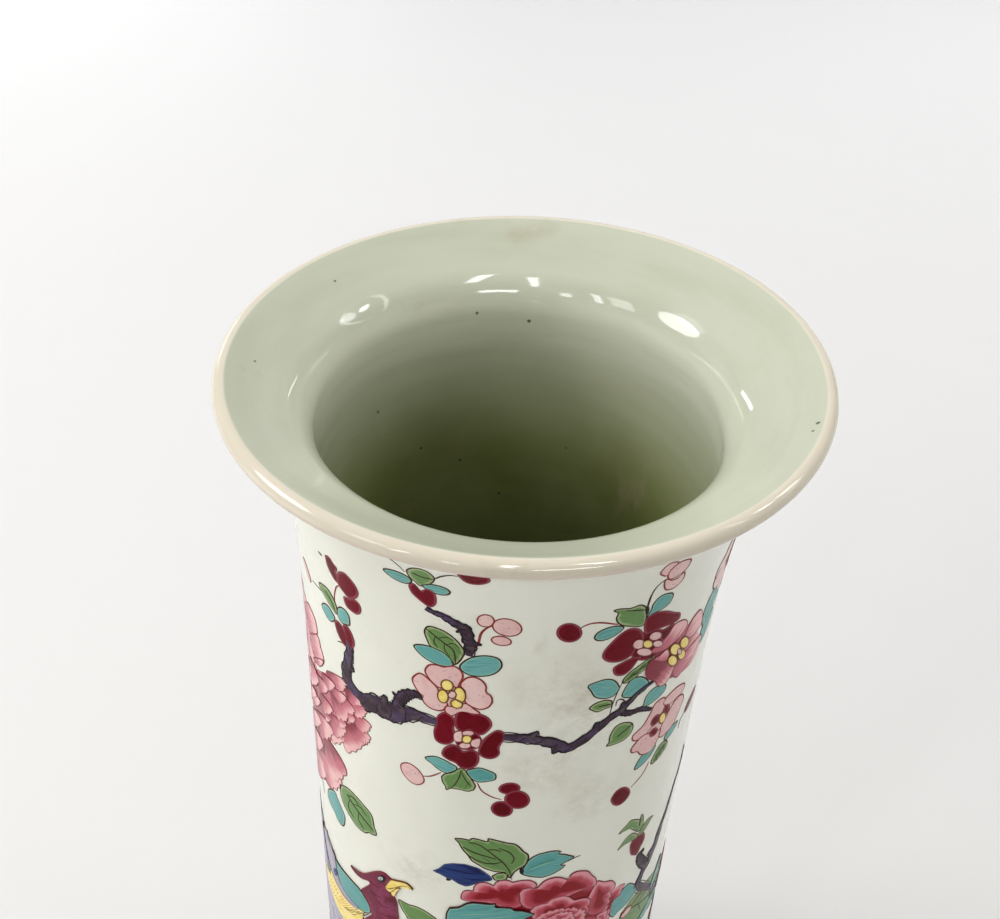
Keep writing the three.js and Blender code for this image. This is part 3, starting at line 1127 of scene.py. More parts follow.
# %% The pink blossom and the ruby blossom in the middle
pink_blossom = {
    "left": pairs(300, 227, 235, 255, 222, 300, 265, 385, 310, 440, 330, 505, 395, 565, 480, 592, 530, 580, 565, 520,
        480, 470, 470, 380, 385, 290),
    "top": pairs(385, 145, 345, 200, 380, 270, 440, 335, 500, 370, 600, 340, 660, 370, 680, 330, 715, 260, 690, 195,
        620, 155, 530, 165, 460, 145),
    "right": pairs(690, 340, 740, 280, 810, 262, 890, 290, 940, 350, 940, 410, 990, 450, 1000, 510, 960, 560,
        890, 580, 820, 560, 750, 520, 720, 450, 740, 400),
    "bottom": pairs(560, 545, 540, 590, 600, 640, 700, 600, 880, 625, 830, 580, 740, 520, 650, 560),
}
ruby_blossom = {
    "left": pairs(540, 605, 470, 640, 450, 720, 430, 800, 450, 880, 520, 920, 600, 910, 640, 850, 625, 760, 640, 700,
        600, 640),
    "top": pairs(690, 580, 640, 640, 640, 740, 690, 790, 780, 780, 880, 830, 950, 800, 1000, 730, 960, 660, 880, 625,
        800, 620, 750, 590),
    "right": pairs(1060, 785, 1000, 810, 920, 870, 880, 940, 870, 1010, 930, 1055, 1010, 1060, 1070, 1020, 1070, 950,
        1110, 880, 1115, 810),
    "bottom": pairs(600, 925, 530, 960, 510, 1020, 570, 1070, 640, 1100, 700, 1150, 790, 1160, 860, 1110, 870, 1030,
        820, 980, 720, 990, 660, 940),
}
ruby_blossom_inner = {
    "left": pairs(640, 800, 700, 790, 710, 840, 700, 890, 640, 885, 625, 840),
    "right": [(800, 880), (880, 860), (885, 910), (860, 950), (800, 930)],
}
pink_heart, ruby_heart = (620, 440), (755, 868)
ground(MIDDLE_VIEW, "pink", pairs(500, 330, 600, 300, 700, 330, 760, 400, 750, 500, 700, 580, 600, 580, 500, 540,
    460, 430), 1.6)
traced_petals(MIDDLE_VIEW, "pink", pink_blossom, pink_heart)
hearts(MIDDLE_VIEW, "yellow", [(562, 340, 62, 50, 30), (521, 448, 50, 66, -20), (686, 433, 54, 76, -20),
    (655, 522, 58, 41, 15)], 6)
hearts(MIDDLE_VIEW, "pink", [(612, 431, 40, 36)], 7, line="amber line")
ground(MIDDLE_VIEW, "ruby", pairs(650, 800, 758, 765, 882, 840, 900, 930, 820, 975, 700, 970, 640, 900), 2.4)
traced_petals(MIDDLE_VIEW, "ruby", ruby_blossom, ruby_heart, 3, 0.2)
traced_petals(MIDDLE_VIEW, "pink", ruby_blossom_inner, ruby_heart, 6, 0.24, line="rose line")
hearts(MIDDLE_VIEW, "pink", [(765, 810, 60, 27), (735, 930, 58, 30)], 6, line="rose line")
hearts(MIDDLE_VIEW, "yellow", [(755, 868, 48, 40)], 7)
print("blossoms in the middle:", sum(len(copies) for copies in painting.values()), "dabs and strokes so far")

# %% Leaves and buds round the two blossoms
below_blossoms = {
    "turquoise left": pairs(345, 1055, 430, 1040, 520, 1070, 600, 1115, 655, 1150, 630, 1195, 560, 1205, 480, 1170,
        410, 1110),
    "turquoise right": pairs(745, 1190, 810, 1165, 880, 1155, 960, 1180, 1030, 1215, 1030, 1265, 960, 1285, 860, 1290,
        790, 1250),
}
green_below = pairs(505, 1240, 530, 1215, 620, 1190, 700, 1150, 740, 1180, 790, 1250, 840, 1330, 820, 1370, 760, 1385,
    690, 1365, 600, 1350, 545, 1370, 550, 1340, 515, 1290)
pink_bud_left = pairs(110, 1120, 170, 1105, 240, 1140, 300, 1200, 335, 1270, 310, 1310, 250, 1315, 180, 1270,
    120, 1190)
for outline, base, tip in ((below_blossoms["turquoise left"], (650, 1160), (345, 1055)),
    (below_blossoms["turquoise right"], (745, 1195), (1035, 1240))):
    traced(MIDDLE_VIEW, "turquoise", outline, 1, 0.32, base, tip)
traced(MIDDLE_VIEW, "green", green_below, 1.5, 0.32, (700, 1160), (560, 1360), rounded=False)
stem(MIDDLE_VIEW([(700, 1165), (680, 1240), (640, 1310), (600, 1345)]), 0.24, "brown line", 5)
stem(MIDDLE_VIEW([(705, 1200), (740, 1270), (790, 1330)]), 0.22, "brown line", 5)
traced(MIDDLE_VIEW, "pink", pink_bud_left, 1, 0.34)
stem(MIDDLE_VIEW([(330, 1235), (400, 1235), (500, 1200)]))
stem(MIDDLE_VIEW([(855, 1300), (900, 1380), (1000, 1440), (1090, 1465)]))
RUBY_CLUSTER = [(509.4, 788.4, 10.8, 5.6, -4), (501.9, 808.9, 10.9, 7.6, 8), (517.1, 799.4, 12.6, 9, 4)]
for number, values in enumerate(RUBY_CLUSTER):
    outlined("ruby", oval(PHOTO, *values), 1 + 0.6 * number, 0.2)

# %% The top of the front, under the lip
green_under_lip = pairs(75, 120, 130, 90, 230, 100, 320, 140, 385, 210, 340, 265, 230, 290, 170, 240, 110, 190)
ruby_under_lip = pairs(645, 155, 760, 160, 900, 185, 990, 200, 1005, 240, 940, 270, 850, 275, 750, 255, 680, 205)
ruby_heart_bud = pairs(100, 280, 150, 262, 190, 300, 235, 345, 300, 325, 370, 350, 405, 420, 400, 490, 350, 525,
    290, 500, 200, 430, 130, 360)
traced(TOP_VIEW, "green", green_under_lip, 1, 0.3, (385, 215), (75, 120))
stem(TOP_VIEW([(370, 215), (250, 190), (140, 140)]), 0.22, "brown line", 5)
traced(TOP_VIEW, "ruby", ruby_under_lip, 1, 0.2)
traced(TOP_VIEW, "ruby", ruby_heart_bud, 2, 0.2)
stem(TOP_VIEW([(385, 215), (460, 185), (560, 172), (645, 182)]), 0.36, "brown line")
leaf("turquoise", TOP_VIEW((560, 360)), TOP_VIEW((245, 280)), 2.7, 0.05)
leaf("turquoise", LEFT_VIEW((1240, 400)), LEFT_VIEW((965, 290)), 3.0, 0.05)
stem(LEFT_VIEW(pairs(680, 50, 790, 90, 900, 130, 1020, 180, 1110, 250, 1170, 310)), 0.3, "brown line")
branch(TOP_VIEW(pairs(290, 535, 377, 584, 472, 619, 566, 678, 648, 725, 719, 760, 750, 819, 766, 902, 788, 973,
    773, 1072)), [1.1, 1.2, 1.5, 1.8, 2.0, 2.1, 2.1, 2.1, 2.1, 1.6], 2, [(32, -1, 0.9), (46, 1, 1.1)])
hearts(TOP_VIEW, "pink", [(1135, 905, 112, 50, 8), (1200, 755, 165, 95, 10), (960, 680, 95, 68, 5)], 1)
stem(TOP_VIEW([(850, 985), (880, 930), (905, 830), (960, 770), (1030, 740)]), 0.5)
green_beside_branch = pairs(275, 790, 330, 740, 480, 790, 600, 870, 690, 970, 720, 1050, 620, 1170, 520, 1080,
    430, 1010, 340, 960, 300, 880)
traced(TOP_VIEW, "green", green_beside_branch, 1, 0.34, (625, 1175), (285, 760))
stem(TOP_VIEW([(300, 770), (500, 930), (600, 1010), (625, 1170)]), 0.28, "brown line", 5)
for path in ([(430, 870), (520, 860), (600, 900)], [(520, 945), (600, 930), (670, 990)], [(400, 850), (380, 910),
    (420, 980)], [(500, 930), (500, 1000), (560, 1080)]):
    stem(TOP_VIEW(path), 0.2, "brown line", 4.5)
turquoise_left_of_branch = pairs(155, 960, 260, 950, 400, 990, 520, 1060, 600, 1165, 520, 1190, 400, 1160, 260, 1080)
turquoise_right_of_branch = pairs(670, 1200, 740, 1120, 860, 1078, 1000, 1075, 1110, 1110, 1140, 1190, 1060, 1270,
    920, 1300, 760, 1280)
traced(TOP_VIEW, "turquoise", turquoise_left_of_branch, 1.5, 0.34, (600, 1165), (155, 960))
traced(TOP_VIEW, "turquoise", turquoise_right_of_branch, 1.5, 0.34, (670, 1200), (1140, 1190))
print("top of the front done")

# %% The long bough
BOUGH_LEFT = pairs(347.5, 640, 350, 650, 348, 662, 346.5, 673, 350, 685, 357, 694.5, 365, 702, 375, 704, 385, 710,
    396, 713, 412, 714, 425, 718, 437, 722)
BOUGH_RIGHT = pairs(503, 737, 520, 738, 540, 740.5, 558, 744, 566, 748, 576, 744, 588, 736, 600, 726, 611, 717,
    620, 711, 630, 701, 640, 690.5, 654, 680.5)
branch(PHOTO(BOUGH_LEFT), [2.0, 2.3, 2.4, 2.7, 3.4, 4.0, 4.4, 5.2, 5.6, 5.0, 4.0, 3.2, 2.4], 2,
    [(12, 1, 0.9), (22, -1, 1.6), (40, 1, 1.8), (48, 1, 1.6)])
branch(PHOTO(BOUGH_RIGHT), [2.6, 2.8, 2.6, 2.6, 2.4, 2.4, 2.2, 2.0, 2.0, 1.8, 1.4, 1.2, 0.7], 2,
    [(9, 1, 1.3), (20, -1, 1.5), (36, 1, 0.9), (47, 1, 1.0)])
branch(PHOTO([(396, 708), (401, 699), (408, 694), (416, 694), (423, 698)]), [2.6, 2.4, 2.6, 2.2, 1.4], 2,
    [(20, 1, 1.0)])
branch(PHOTO([(619, 712), (629.5, 712.8), (640.7, 709), (651, 709)]), [1.6, 1.4, 1.2, 0.7], 1.5)
print("bough done")

# %% The left twig: buds and leaves beside the bough
left_twig = {
    "upper petal": ("ruby", pairs(400, -60, 408, 0, 420, 60, 450, 130, 490, 210, 530, 270, 560, 295, 550, 230,
        530, 170, 545, 110, 500, 50, 450, -30), (560, 290), (400, -60)),
    "lower petal": ("ruby", pairs(640, 480, 690, 500, 750, 510, 800, 535, 840, 580, 860, 640, 850, 690, 810, 705,
        760, 680, 700, 630, 660, 570), (650, 500), (850, 690)),
    "large petal": ("ruby", pairs(560, 290, 550, 210, 565, 165, 600, 155, 650, 175, 710, 235, 770, 310, 810, 380,
        825, 440, 800, 490, 750, 505, 690, 480, 640, 420, 590, 350), (570, 280), (800, 480)),
    "green": ("green", pairs(320, 295, 390, 340, 430, 380, 470, 440, 510, 520, 540, 600, 555, 680, 540, 700, 480, 620,
        420, 520, 370, 430, 335, 370), (548, 695), (320, 295)),
    "turquoise left": ("turquoise", pairs(355, 590, 375, 565, 410, 580, 450, 620, 490, 690, 520, 750, 515, 790,
        480, 800, 440, 770, 400, 700, 370, 640), (515, 790), (360, 580)),
    "turquoise right": ("turquoise", pairs(560, 640, 580, 615, 620, 625, 660, 660, 700, 720, 715, 790, 715, 850,
        680, 840, 620, 820, 580, 760, 560, 700), (565, 640), (715, 850)),
    "left bud": ("ruby", pairs(525, 805, 560, 800, 620, 870, 660, 930, 690, 1000, 700, 1080, 690, 1130, 650, 1110,
        600, 1030, 555, 930), (695, 1130), (525, 805)),
    "right bud": ("ruby", pairs(640, 840, 680, 860, 720, 920, 755, 1000, 775, 1080, 770, 1120, 740, 1160, 700, 1120,
        660, 1000, 640, 900), (740, 1150), (650, 840)),
}
for number, (colour, outline, base, tip) in enumerate(left_twig.values()):
    traced(TWIG_VIEW, colour, outline, 1 + 0.3 * number, 0.34, base, tip)
stem(TWIG_VIEW([(400, 400), (450, 480), (500, 580), (540, 680)]), 0.26, "brown line", 5)
stem(TWIG_VIEW([(560, 1060), (620, 1080), (690, 1130)]), 0.3, "brown line", 2)
stem(TWIG_VIEW(pairs(590, 335, 545, 345, 525, 400, 515, 480, 525, 560, 550, 620)))
stem(TWIG_VIEW([(230, 265), (285, 335), (340, 400)]), 0.24, "brown line")
bud("pink", LEFT_VIEW((254, 412)), LEFT_VIEW((180, 165)), 2.0, 1, "red line")
stroke("black line", LEFT_VIEW([(325, 110), (342, 132), (360, 150)]), 0.7, 1)

# %% The ruby blossoms at the right
right_ruby = {
    "upper left": pairs(880, 350, 800, 332, 720, 370, 640, 440, 560, 530, 545, 590, 600, 625, 700, 620, 790, 570,
        840, 500, 900, 430),
    "top": pairs(920, 260, 1000, 200, 1100, 182, 1180, 195, 1220, 200, 1210, 250, 1150, 290, 1050, 330, 960, 370,
        910, 370),
    "lower": pairs(640, 680, 650, 735, 720, 740, 790, 690, 850, 610, 880, 580, 800, 590, 700, 640),
    "right": [(1040, 370), (1100, 330), (1170, 290), (1120, 390), (1060, 440)],
}
shaded_blossom = {
    "top left": pairs(1240, 275, 1170, 310, 1110, 400, 1000, 500, 980, 530, 1080, 510, 1180, 430, 1250, 340,
        1265, 290),
    "top right": pairs(1390, 185, 1340, 240, 1290, 330, 1270, 400, 1330, 380, 1390, 300, 1405, 220),
    "right": pairs(1380, 410, 1300, 500, 1200, 620, 1160, 700, 1200, 735, 1260, 650, 1330, 540, 1380, 440),
    "bottom": pairs(1000, 600, 940, 680, 935, 740, 960, 770, 1000, 780, 1030, 820, 1080, 800, 1130, 720, 1150, 650,
        1080, 600),
    "left": [(1100, 520), (1040, 570), (1000, 600), (1080, 610), (1110, 570)],
}
pale_blossom = {
    "top left": pairs(1070, 950, 1000, 1000, 960, 1080, 900, 1180, 820, 1260, 825, 1300, 900, 1270, 960, 1200,
        1040, 1100, 1085, 1000),
    "top right": pairs(1250, 820, 1190, 850, 1110, 930, 1080, 980, 1110, 1000, 1180, 940, 1240, 870),
    "right": pairs(1230, 920, 1180, 960, 1120, 1060, 1060, 1180, 1040, 1260, 1080, 1250, 1160, 1150, 1220, 1010,
        1240, 950),
    "bottom": pairs(1000, 1240, 900, 1270, 810, 1370, 805, 1410, 850, 1400, 880, 1425, 950, 1400, 1000, 1330,
        1040, 1220),
}
ground(RIGHT_VIEW, "ruby", pairs(790, 430, 954, 345, 1090, 350, 1120, 440, 1051, 520, 954, 600, 840, 610, 770, 540),
    1.4)
traced_petals(RIGHT_VIEW, "ruby", right_ruby, (935, 468), 2, 0.2)
hearts(RIGHT_VIEW, "pink", [(1002, 396, 55, 35, -20), (856, 468, 53, 39, -25), (1022, 464, 43, 29, -10),
    (905, 536, 66, 34, 0)], 6, line="rose line")
hearts(RIGHT_VIEW, "yellow", [(934, 466, 43, 35, -15)], 7)
shaded_ground = pairs(1012, 546, 1090, 419, 1187, 312, 1265, 292, 1343, 331, 1392, 419, 1343, 585, 1236, 711,
    1148, 760, 1051, 780, 973, 721, 963, 643)
ground(RIGHT_VIEW, "rose", shaded_ground, 3.4, (1000, 640), (1450, 200))
traced_petals(RIGHT_VIEW, "rose", shaded_blossom, (980, 720), 4, 0.24, 1.14)
hearts(RIGHT_VIEW, "yellow", [(1172, 511, 42, 53, 30), (1252, 452, 34, 53, 25), (1148, 610, 39, 47, 20),
    (1226, 555, 29, 47, 20)], 8)
hearts(RIGHT_VIEW, "pink", [(1207, 530, 20, 25)], 9, line="amber line")
ground(RIGHT_VIEW, "pink", pairs(940, 1169, 1032, 1080, 1090, 1000, 1150, 960, 1160, 1091, 1100, 1200, 1012, 1280,
    940, 1286), 1.4)
traced_petals(RIGHT_VIEW, "pink", pale_blossom, (1050, 1120), 2, 0.36, 1.08)
hearts(RIGHT_VIEW, "ruby", [(1095, 1040, 20, 52, 25), (1000, 1130, 24, 58, 35), (985, 1235, 22, 45, 40)], 6)
hearts(RIGHT_VIEW, "yellow", [(1060, 1110, 24, 50, 20)], 7)
print("right blossoms done")

# %% Leaves, buds and twigs at the right
right_outlines = {
    "green top": ("green", pairs(640, 182, 700, 165, 790, 160, 880, 130, 930, 170, 905, 300, 800, 315, 700, 300,
        665, 250, 685, 200), (920, 170), (640, 185)),
    "turquoise upper": ("turquoise", pairs(420, 835, 500, 800, 580, 778, 650, 790, 690, 855, 640, 920, 560, 945,
        480, 930, 445, 880), (690, 850), (420, 835)),
    "turquoise middle": ("turquoise", pairs(715, 925, 740, 860, 800, 780, 880, 755, 940, 790, 930, 850, 860, 910,
        780, 935), (715, 930), (940, 780)),
    "turquoise lower": ("turquoise", pairs(900, 1010, 930, 920, 1000, 850, 1090, 820, 1080, 880, 1000, 960,
        930, 1005), (900, 1010), (1090, 820)),
    "green small": ("green", pairs(430, 1030, 480, 990, 560, 962, 620, 965, 620, 1010, 560, 1035, 500, 1060,
        450, 1045), (620, 990), (430, 1030)),
    "green lower": ("green", pairs(600, 1330, 610, 1270, 660, 1190, 730, 1155, 800, 1160, 805, 1210, 760, 1280,
        690, 1325, 575, 1360), (805, 1160), (575, 1360)),
}
for colour, outline, base, tip in right_outlines.values():
    traced(RIGHT_VIEW, colour, outline, 1, 0.32, base, tip)
    middle = (np.array(base) * 0.4 + np.array(tip) * 0.6).tolist()
    stem(RIGHT_VIEW([base, middle]), 0.24, "brown line" if colour == "green" else "turquoise", 5)
outlined("ruby", oval(RIGHT_VIEW, 255, 372, 110, 82), 1, 0.2)
stem(RIGHT_VIEW([(345, 338), (400, 308), (460, 290), (550, 285), (680, 300)]), 0.44)
stem(RIGHT_VIEW([(930, 170), (945, 110), (965, 55), (1000, 0)]), 0.34, "brown line")
leaf("turquoise", RIGHT_VIEW((475, 415)), RIGHT_VIEW((730, 325)), 3.4)
leaf("green", RIGHT_VIEW((715, 810)), RIGHT_VIEW((1040, 545)), 3.0, 0.05)
stem(RIGHT_VIEW([(715, 810), (670, 900), (630, 1000), (600, 1110)]), 0.3, "brown line")
for colour, base, tip, width in (
    ("turquoise", (654.8, 744), (634.5, 769.5), 3.6),
    ("green", (666.5, 740), (651, 764), 4.8),
    ("turquoise", (664, 739), (677.5, 721), 3.0),
):
    leaf(colour, PHOTO(base), PHOTO(tip), width)

# %% The buds under the lip at the right, and what shows of the right side
lip_bud = {
    "back": pairs(270, 570, 300, 520, 350, 470, 420, 430, 490, 415, 500, 430, 450, 470, 400, 520, 370, 580, 340, 600,
        300, 590),
    "front": pairs(320, 700, 330, 660, 355, 640, 380, 655, 440, 650, 520, 610, 570, 550, 585, 570, 560, 640, 500, 710,
        430, 760, 360, 780, 325, 760),
    "middle": pairs(365, 600, 390, 540, 450, 480, 530, 420, 600, 390, 655, 380, 665, 400, 630, 470, 580, 530,
        500, 590, 430, 630, 380, 640),
}
traced_petals(RIM_VIEW, "pink", lip_bud, (345, 640), 1, 0.4)
stem(RIM_VIEW(pairs(345, 640, 280, 690, 200, 770, 150, 860, 120, 950, 100, 1020)), 0.36, "brown line")
turquoise_by_lip = pairs(95, 1140, 150, 1040, 170, 980, 230, 900, 300, 850, 380, 825, 430, 830, 425, 880, 380, 960,
    320, 1010, 250, 1050, 170, 1090)
traced(RIM_VIEW, "turquoise", turquoise_by_lip, 1, 0.34, (95, 1140), (430, 830))
stroke("black line", RIM_VIEW([(90, 1000), (95, 1040), (90, 1100)]), 0.9, 2)
ruby_side_bud = pairs(205, 412, 245, 420, 262, 450, 250, 490, 210, 540, 160, 572, 115, 565, 95, 530, 110, 490,
    150, 440)
traced(EDGE_VIEW, "ruby", ruby_side_bud, 1, 0.2)
stem(EDGE_VIEW([(425, 190), (405, 240), (370, 300), (320, 360), (270, 415)]))
blossom("pink", (57.5, 226.5), 9.6, 150)
leaf("turquoise", (52, 221.5), (48.5, 211.3), 7.6)
leaf("turquoise", (52, 213.5), (49, 205.8), 6)
bud("ruby", PHOTO((684, 712)), PHOTO((695.5, 685.5)), 3.4, 1, "rose line")
stem(PHOTO([(684, 712), (680, 720), (678, 728)]), 0.34, "brown line")
curl = [(660, 1010), (668, 970), (700, 950), (735, 965), (738, 1000)]
stem(RIGHT_VIEW(curl), 0.34, "brown line")

# %% The sprig and twig low at the right
sprig = {
    "left": pairs(165, 825, 200, 780, 240, 740, 270, 705, 330, 695, 350, 700, 340, 740, 360, 770, 330, 800, 300, 790,
        250, 770, 220, 790),
    "up": pairs(330, 800, 350, 730, 360, 660, 375, 655, 380, 700, 370, 760),
    "right": pairs(465, 660, 420, 690, 390, 730, 360, 780, 330, 830, 350, 840, 400, 770, 440, 700),
    "lower": pairs(155, 965, 200, 900, 240, 850, 290, 815, 330, 830, 320, 850, 280, 880, 220, 910),
}
for outline in sprig.values():
    traced(EDGE_VIEW, "green", outline, 1, 0.3, (340, 820), outline[0])
ruby_sprig_bud = pairs(270, 1000, 262, 940, 280, 890, 320, 860, 350, 820, 375, 805, 390, 830, 380, 880, 350, 940,
    320, 1000, 290, 1005)
traced(EDGE_VIEW, "ruby", ruby_sprig_bud, 1.5, 0.24)
branch(EDGE_VIEW(pairs(735, 40, 700, 200, 655, 350, 620, 470, 575, 620, 525, 760, 490, 880, 450, 980, 420, 1060,
    370, 1150, 310, 1290)), [0.3, 0.5, 0.8, 1.0, 1.6, 2.0, 2.6, 3.0, 3.0, 2.8, 2.6], 1.5, [(44, -1, 1.4)])
branch(EDGE_VIEW([(400, 1090), (360, 1060), (340, 1010), (385, 950)]), [2.6, 2.8, 2.4, 1.0], 2)
turquoise_low_right = pairs(1030, 560, 1060, 490, 1100, 465, 1110, 440, 1150, 400, 1180, 400, 1195, 430, 1150, 500,
    1090, 560, 1060, 590)
traced(HEART_VIEW, "turquoise", turquoise_low_right, 2, 0.34, (1040, 590), (1180, 400))
leaf("green", (36, 121), (64, 101), 16, 0.05, 1.5)

# %% [markdown]
# ## The peony at the front and the peony at the left
# The large peonies are rings of frilled petals. The petals that show are read from the photograph, and the same
# petals in rings fill the rest, so that each flower is whole when the vase is turned.

# %% The front peony with its leaves
PEONY_HEART = (16, 131)
peony(PEONY_HEART, 19, 20, 1, rows=[(1.0, 12, 0.6), (0.84, 10, 0.56)], colour="deep rose", sector=(170, 359))
front_peony = {
    "left": (pairs(189, 489, 182, 465, 195, 442, 225, 436, 251, 440, 256, 415, 276, 396, 310, 389, 349, 399, 369, 409,
        384, 389, 418, 377, 457, 379, 482, 389, 507, 383, 551, 377, 590, 381, 620, 403, 600, 430, 561, 479, 521, 528,
        443, 538, 344, 509, 266, 501), (430, 540), (420, 380)),
    "right": (pairs(954, 406, 973, 381, 1013, 387, 1052, 379, 1074, 396, 1067, 425, 1047, 440, 1050, 470, 1027, 489,
        1022, 528, 993, 558, 944, 578, 905, 558, 900, 519, 920, 469), (940, 560), (1050, 390)),
    "low right": (pairs(964, 603, 968, 578, 998, 563, 1027, 548, 1022, 578, 1013, 603, 993, 617), (960, 620),
        (1027, 548)),
    "middle": (pairs(521, 479, 519, 450, 541, 428, 580, 420, 620, 422, 639, 403, 664, 381, 703, 365, 747, 359,
        782, 367, 806, 373, 816, 347, 846, 328, 885, 322, 919, 326, 939, 347, 959, 363, 964, 391, 949, 409, 885, 430,
        816, 460, 757, 490, 679, 520, 600, 540, 551, 533, 523, 504), (720, 540), (800, 340)),
    "inner": (pairs(580, 563, 600, 533, 639, 514, 679, 507, 693, 484, 733, 469, 777, 465, 811, 474, 836, 491,
        865, 484, 905, 477, 929, 489, 924, 511, 909, 524, 922, 538, 909, 563, 875, 587, 806, 607, 698, 617, 610, 607),
        (760, 620), (770, 470)),
}
flower_ground = pairs(250, 480, 450, 430, 600, 440, 720, 420, 860, 380, 960, 400, 1050, 420, 1010, 520, 950, 640,
    800, 760, 560, 700, 380, 560)
ground(HEART_VIEW, "deep rose", flower_ground, 2.4, (760, 640), (1300, 200))
for number, (outline, base, tip) in enumerate(front_peony.values()):
    traced(HEART_VIEW, "deep rose", outline, 4 + 0.8 * number, 0.28, base, tip)
peony(PEONY_HEART, 19, 50, 7.5, rows=[(0.4, 8, 0.34), (0.28, 6, 0.3), (0.17, 4, 0.24)], colour="deep rose")
peony_leaves = {
    "green": ("green", pairs(115, 65, 180, 68, 235, 80, 250, 62, 310, 75, 375, 95, 380, 65, 440, 80, 520, 100,
        590, 110, 630, 140, 650, 165, 690, 190, 695, 215, 685, 240, 680, 265, 650, 285, 620, 300, 580, 330, 560, 360,
        545, 380, 520, 330, 430, 325, 350, 300, 300, 270, 250, 240, 215, 190, 185, 160, 165, 130, 150, 100),
        (550, 385), (115, 65)),
    "turquoise": ("turquoise", pairs(650, 350, 635, 325, 690, 240, 720, 215, 770, 190, 850, 170, 920, 160, 950, 170,
        915, 185, 980, 190, 1060, 208, 1000, 240, 935, 275, 985, 275, 940, 310, 880, 345, 800, 370, 720, 365),
        (640, 345), (1060, 208)),
    "blue": ("blue", pairs(-52, 320, 0, 300, 35, 270, 100, 262, 200, 270, 300, 300, 360, 340, 400, 370, 405, 395,
        330, 400, 270, 420, 210, 440, 150, 420, 90, 380, 60, 375, 0, 340), (405, 390), (-52, 320)),
    "small green": ("green", pairs(410, 360, 450, 340, 500, 335, 530, 350, 520, 385, 470, 395, 430, 390), (530, 370),
        (410, 360)),
    "large turquoise": ("turquoise", pairs(50, 698, 55, 640, 75, 605, 150, 600, 210, 570, 260, 562, 320, 568,
        400, 575, 440, 570, 425, 600, 500, 600, 560, 605, 580, 625, 640, 625, 700, 640, 740, 652, 650, 690, 600, 730,
        480, 790, 300, 840, 150, 830, 80, 780), (90, 760), (740, 650)),
}
for name, (colour, outline, base, tip) in peony_leaves.items():
    traced(PEONY_VIEW, colour, outline, 12 if name == "large turquoise" else 1.5, 0.4, base, tip, rounded=False)
for path in (pairs(230, 95, 300, 110, 370, 155, 490, 250, 545, 320, 560, 385), [(215, 190), (300, 240), (400, 262),
    (480, 250)], [(460, 140), (540, 170), (580, 220), (560, 262)], [(180, 130), (260, 170), (350, 200), (440, 225)],
    [(370, 155), (420, 150), (480, 165)]):
    stem(PEONY_VIEW(path), 0.26, "brown line", 6)
for path in ([(140, 660), (260, 650), (420, 640)], [(280, 690), (420, 675), (560, 660)], [(700, 300), (800, 260),
    (900, 230)]):
    stem(PEONY_VIEW(path), 0.3, "turquoise", 15)
stem(PEONY_VIEW([(1000, 245), (1060, 215), (1100, 198)]), 0.24, "brown line", 2)
dab("black line", oval(PEONY_VIEW, 640, 320, 18, 26), 3, small=True)
dab("black line", oval(PEONY_VIEW, 68, 384, 22, 14), 1, small=True)

# %% The peony on the left side
SIDE_HEART = (-74, 187)
side_petals = [
    ((560, 690), (768, 935), 105), ((540, 540), (772, 805), 110), ((490, 690), (655, 1012), 200),
    ((380, 620), (470, 935), 150), ((530, 370), (716, 645), 110), ((500, 310), (682, 530), 110),
    ((300, 120), (505, 335), 120), ((200, 960), (432, 1445), 120), ((285, 850), (452, 1350), 165),
    ((160, 930), (290, 1330), 80), ((150, 700), (235, 1010), 70), ((310, 560), (488, 860), 110),
    ((190, 560), (332, 880), 120), ((490, 470), (608, 705), 60), ((420, 540), (505, 765), 60),
    ((420, 330), (592, 625), 90), ((350, 360), (518, 695), 100), ((300, 560), (335, 690), 50),
    ((240, 370), (342, 610), 80), ((150, 520), (216, 745), 70), ((330, 280), (512, 470), 80),
    ((140, 330), (216, 510), 60), ((250, 140), (378, 335), 80), ((200, 160), (308, 365), 66),
    ((110, 220), (172, 430), 56), ((160, -30), (262, 48), 60), ((120, -40), (190, 285), 66),
    ((90, -60), (140, 180), 50),
]
peony(SIDE_HEART, 27, -8, 0.5, rows=[(1.0, 13, 0.46), (0.84, 12, 0.44), (0.68, 10, 0.4), (0.5, 8, 0.34),
    (0.34, 6, 0.3), (0.2, 5, 0.24)])
peony_ground = {
    "upper": pairs(310, 100, 350, 90, 400, 130, 450, 190, 480, 230, 530, 260, 570, 300, 590, 360, 605, 420, 590, 470,
        620, 520, 640, 580, 655, 640, 600, 665, 550, 690, 460, 640, 430, 655, 390, 630, 300, 640, 235, 520, 215, 400,
        200, 200, 220, 60),
    "lower": pairs(235, 520, 300, 560, 360, 590, 350, 630, 390, 700, 420, 770, 425, 850, 430, 900, 425, 945,
        400, 1000, 350, 1000, 320, 940, 290, 880, 270, 760, 240, 650),
}
for outline in peony_ground.values():
    dab("rose", SIDE_VIEW(outline), 1.4, SIDE_VIEW((150, 400)), SIDE_VIEW((900, 600)))
for number, (base, tip, width) in enumerate(side_petals):
    shape = PETAL_VIEW(along_to(base, tip, FRILLED, width * 1.25))
    outlined("rose", shape, 2 + 0.22 * number, 0.22, PETAL_VIEW(base), PETAL_VIEW(tip))
upper_petals = {
    "upper": pairs(160, 550, 200, 620, 260, 760, 290, 900, 290, 960, 200, 960, 180, 850, 150, 700, 130, 600),
    "lower": pairs(190, 960, 290, 980, 340, 1150, 380, 1300, 350, 1360, 310, 1350, 260, 1250, 210, 1100),
}
for outline in upper_petals.values():
    outlined("rose", TWIG_VIEW(outline), 2, 0.3, TWIG_VIEW(outline[7]) - (3, 0), TWIG_VIEW(outline[3]),
        line="red line")
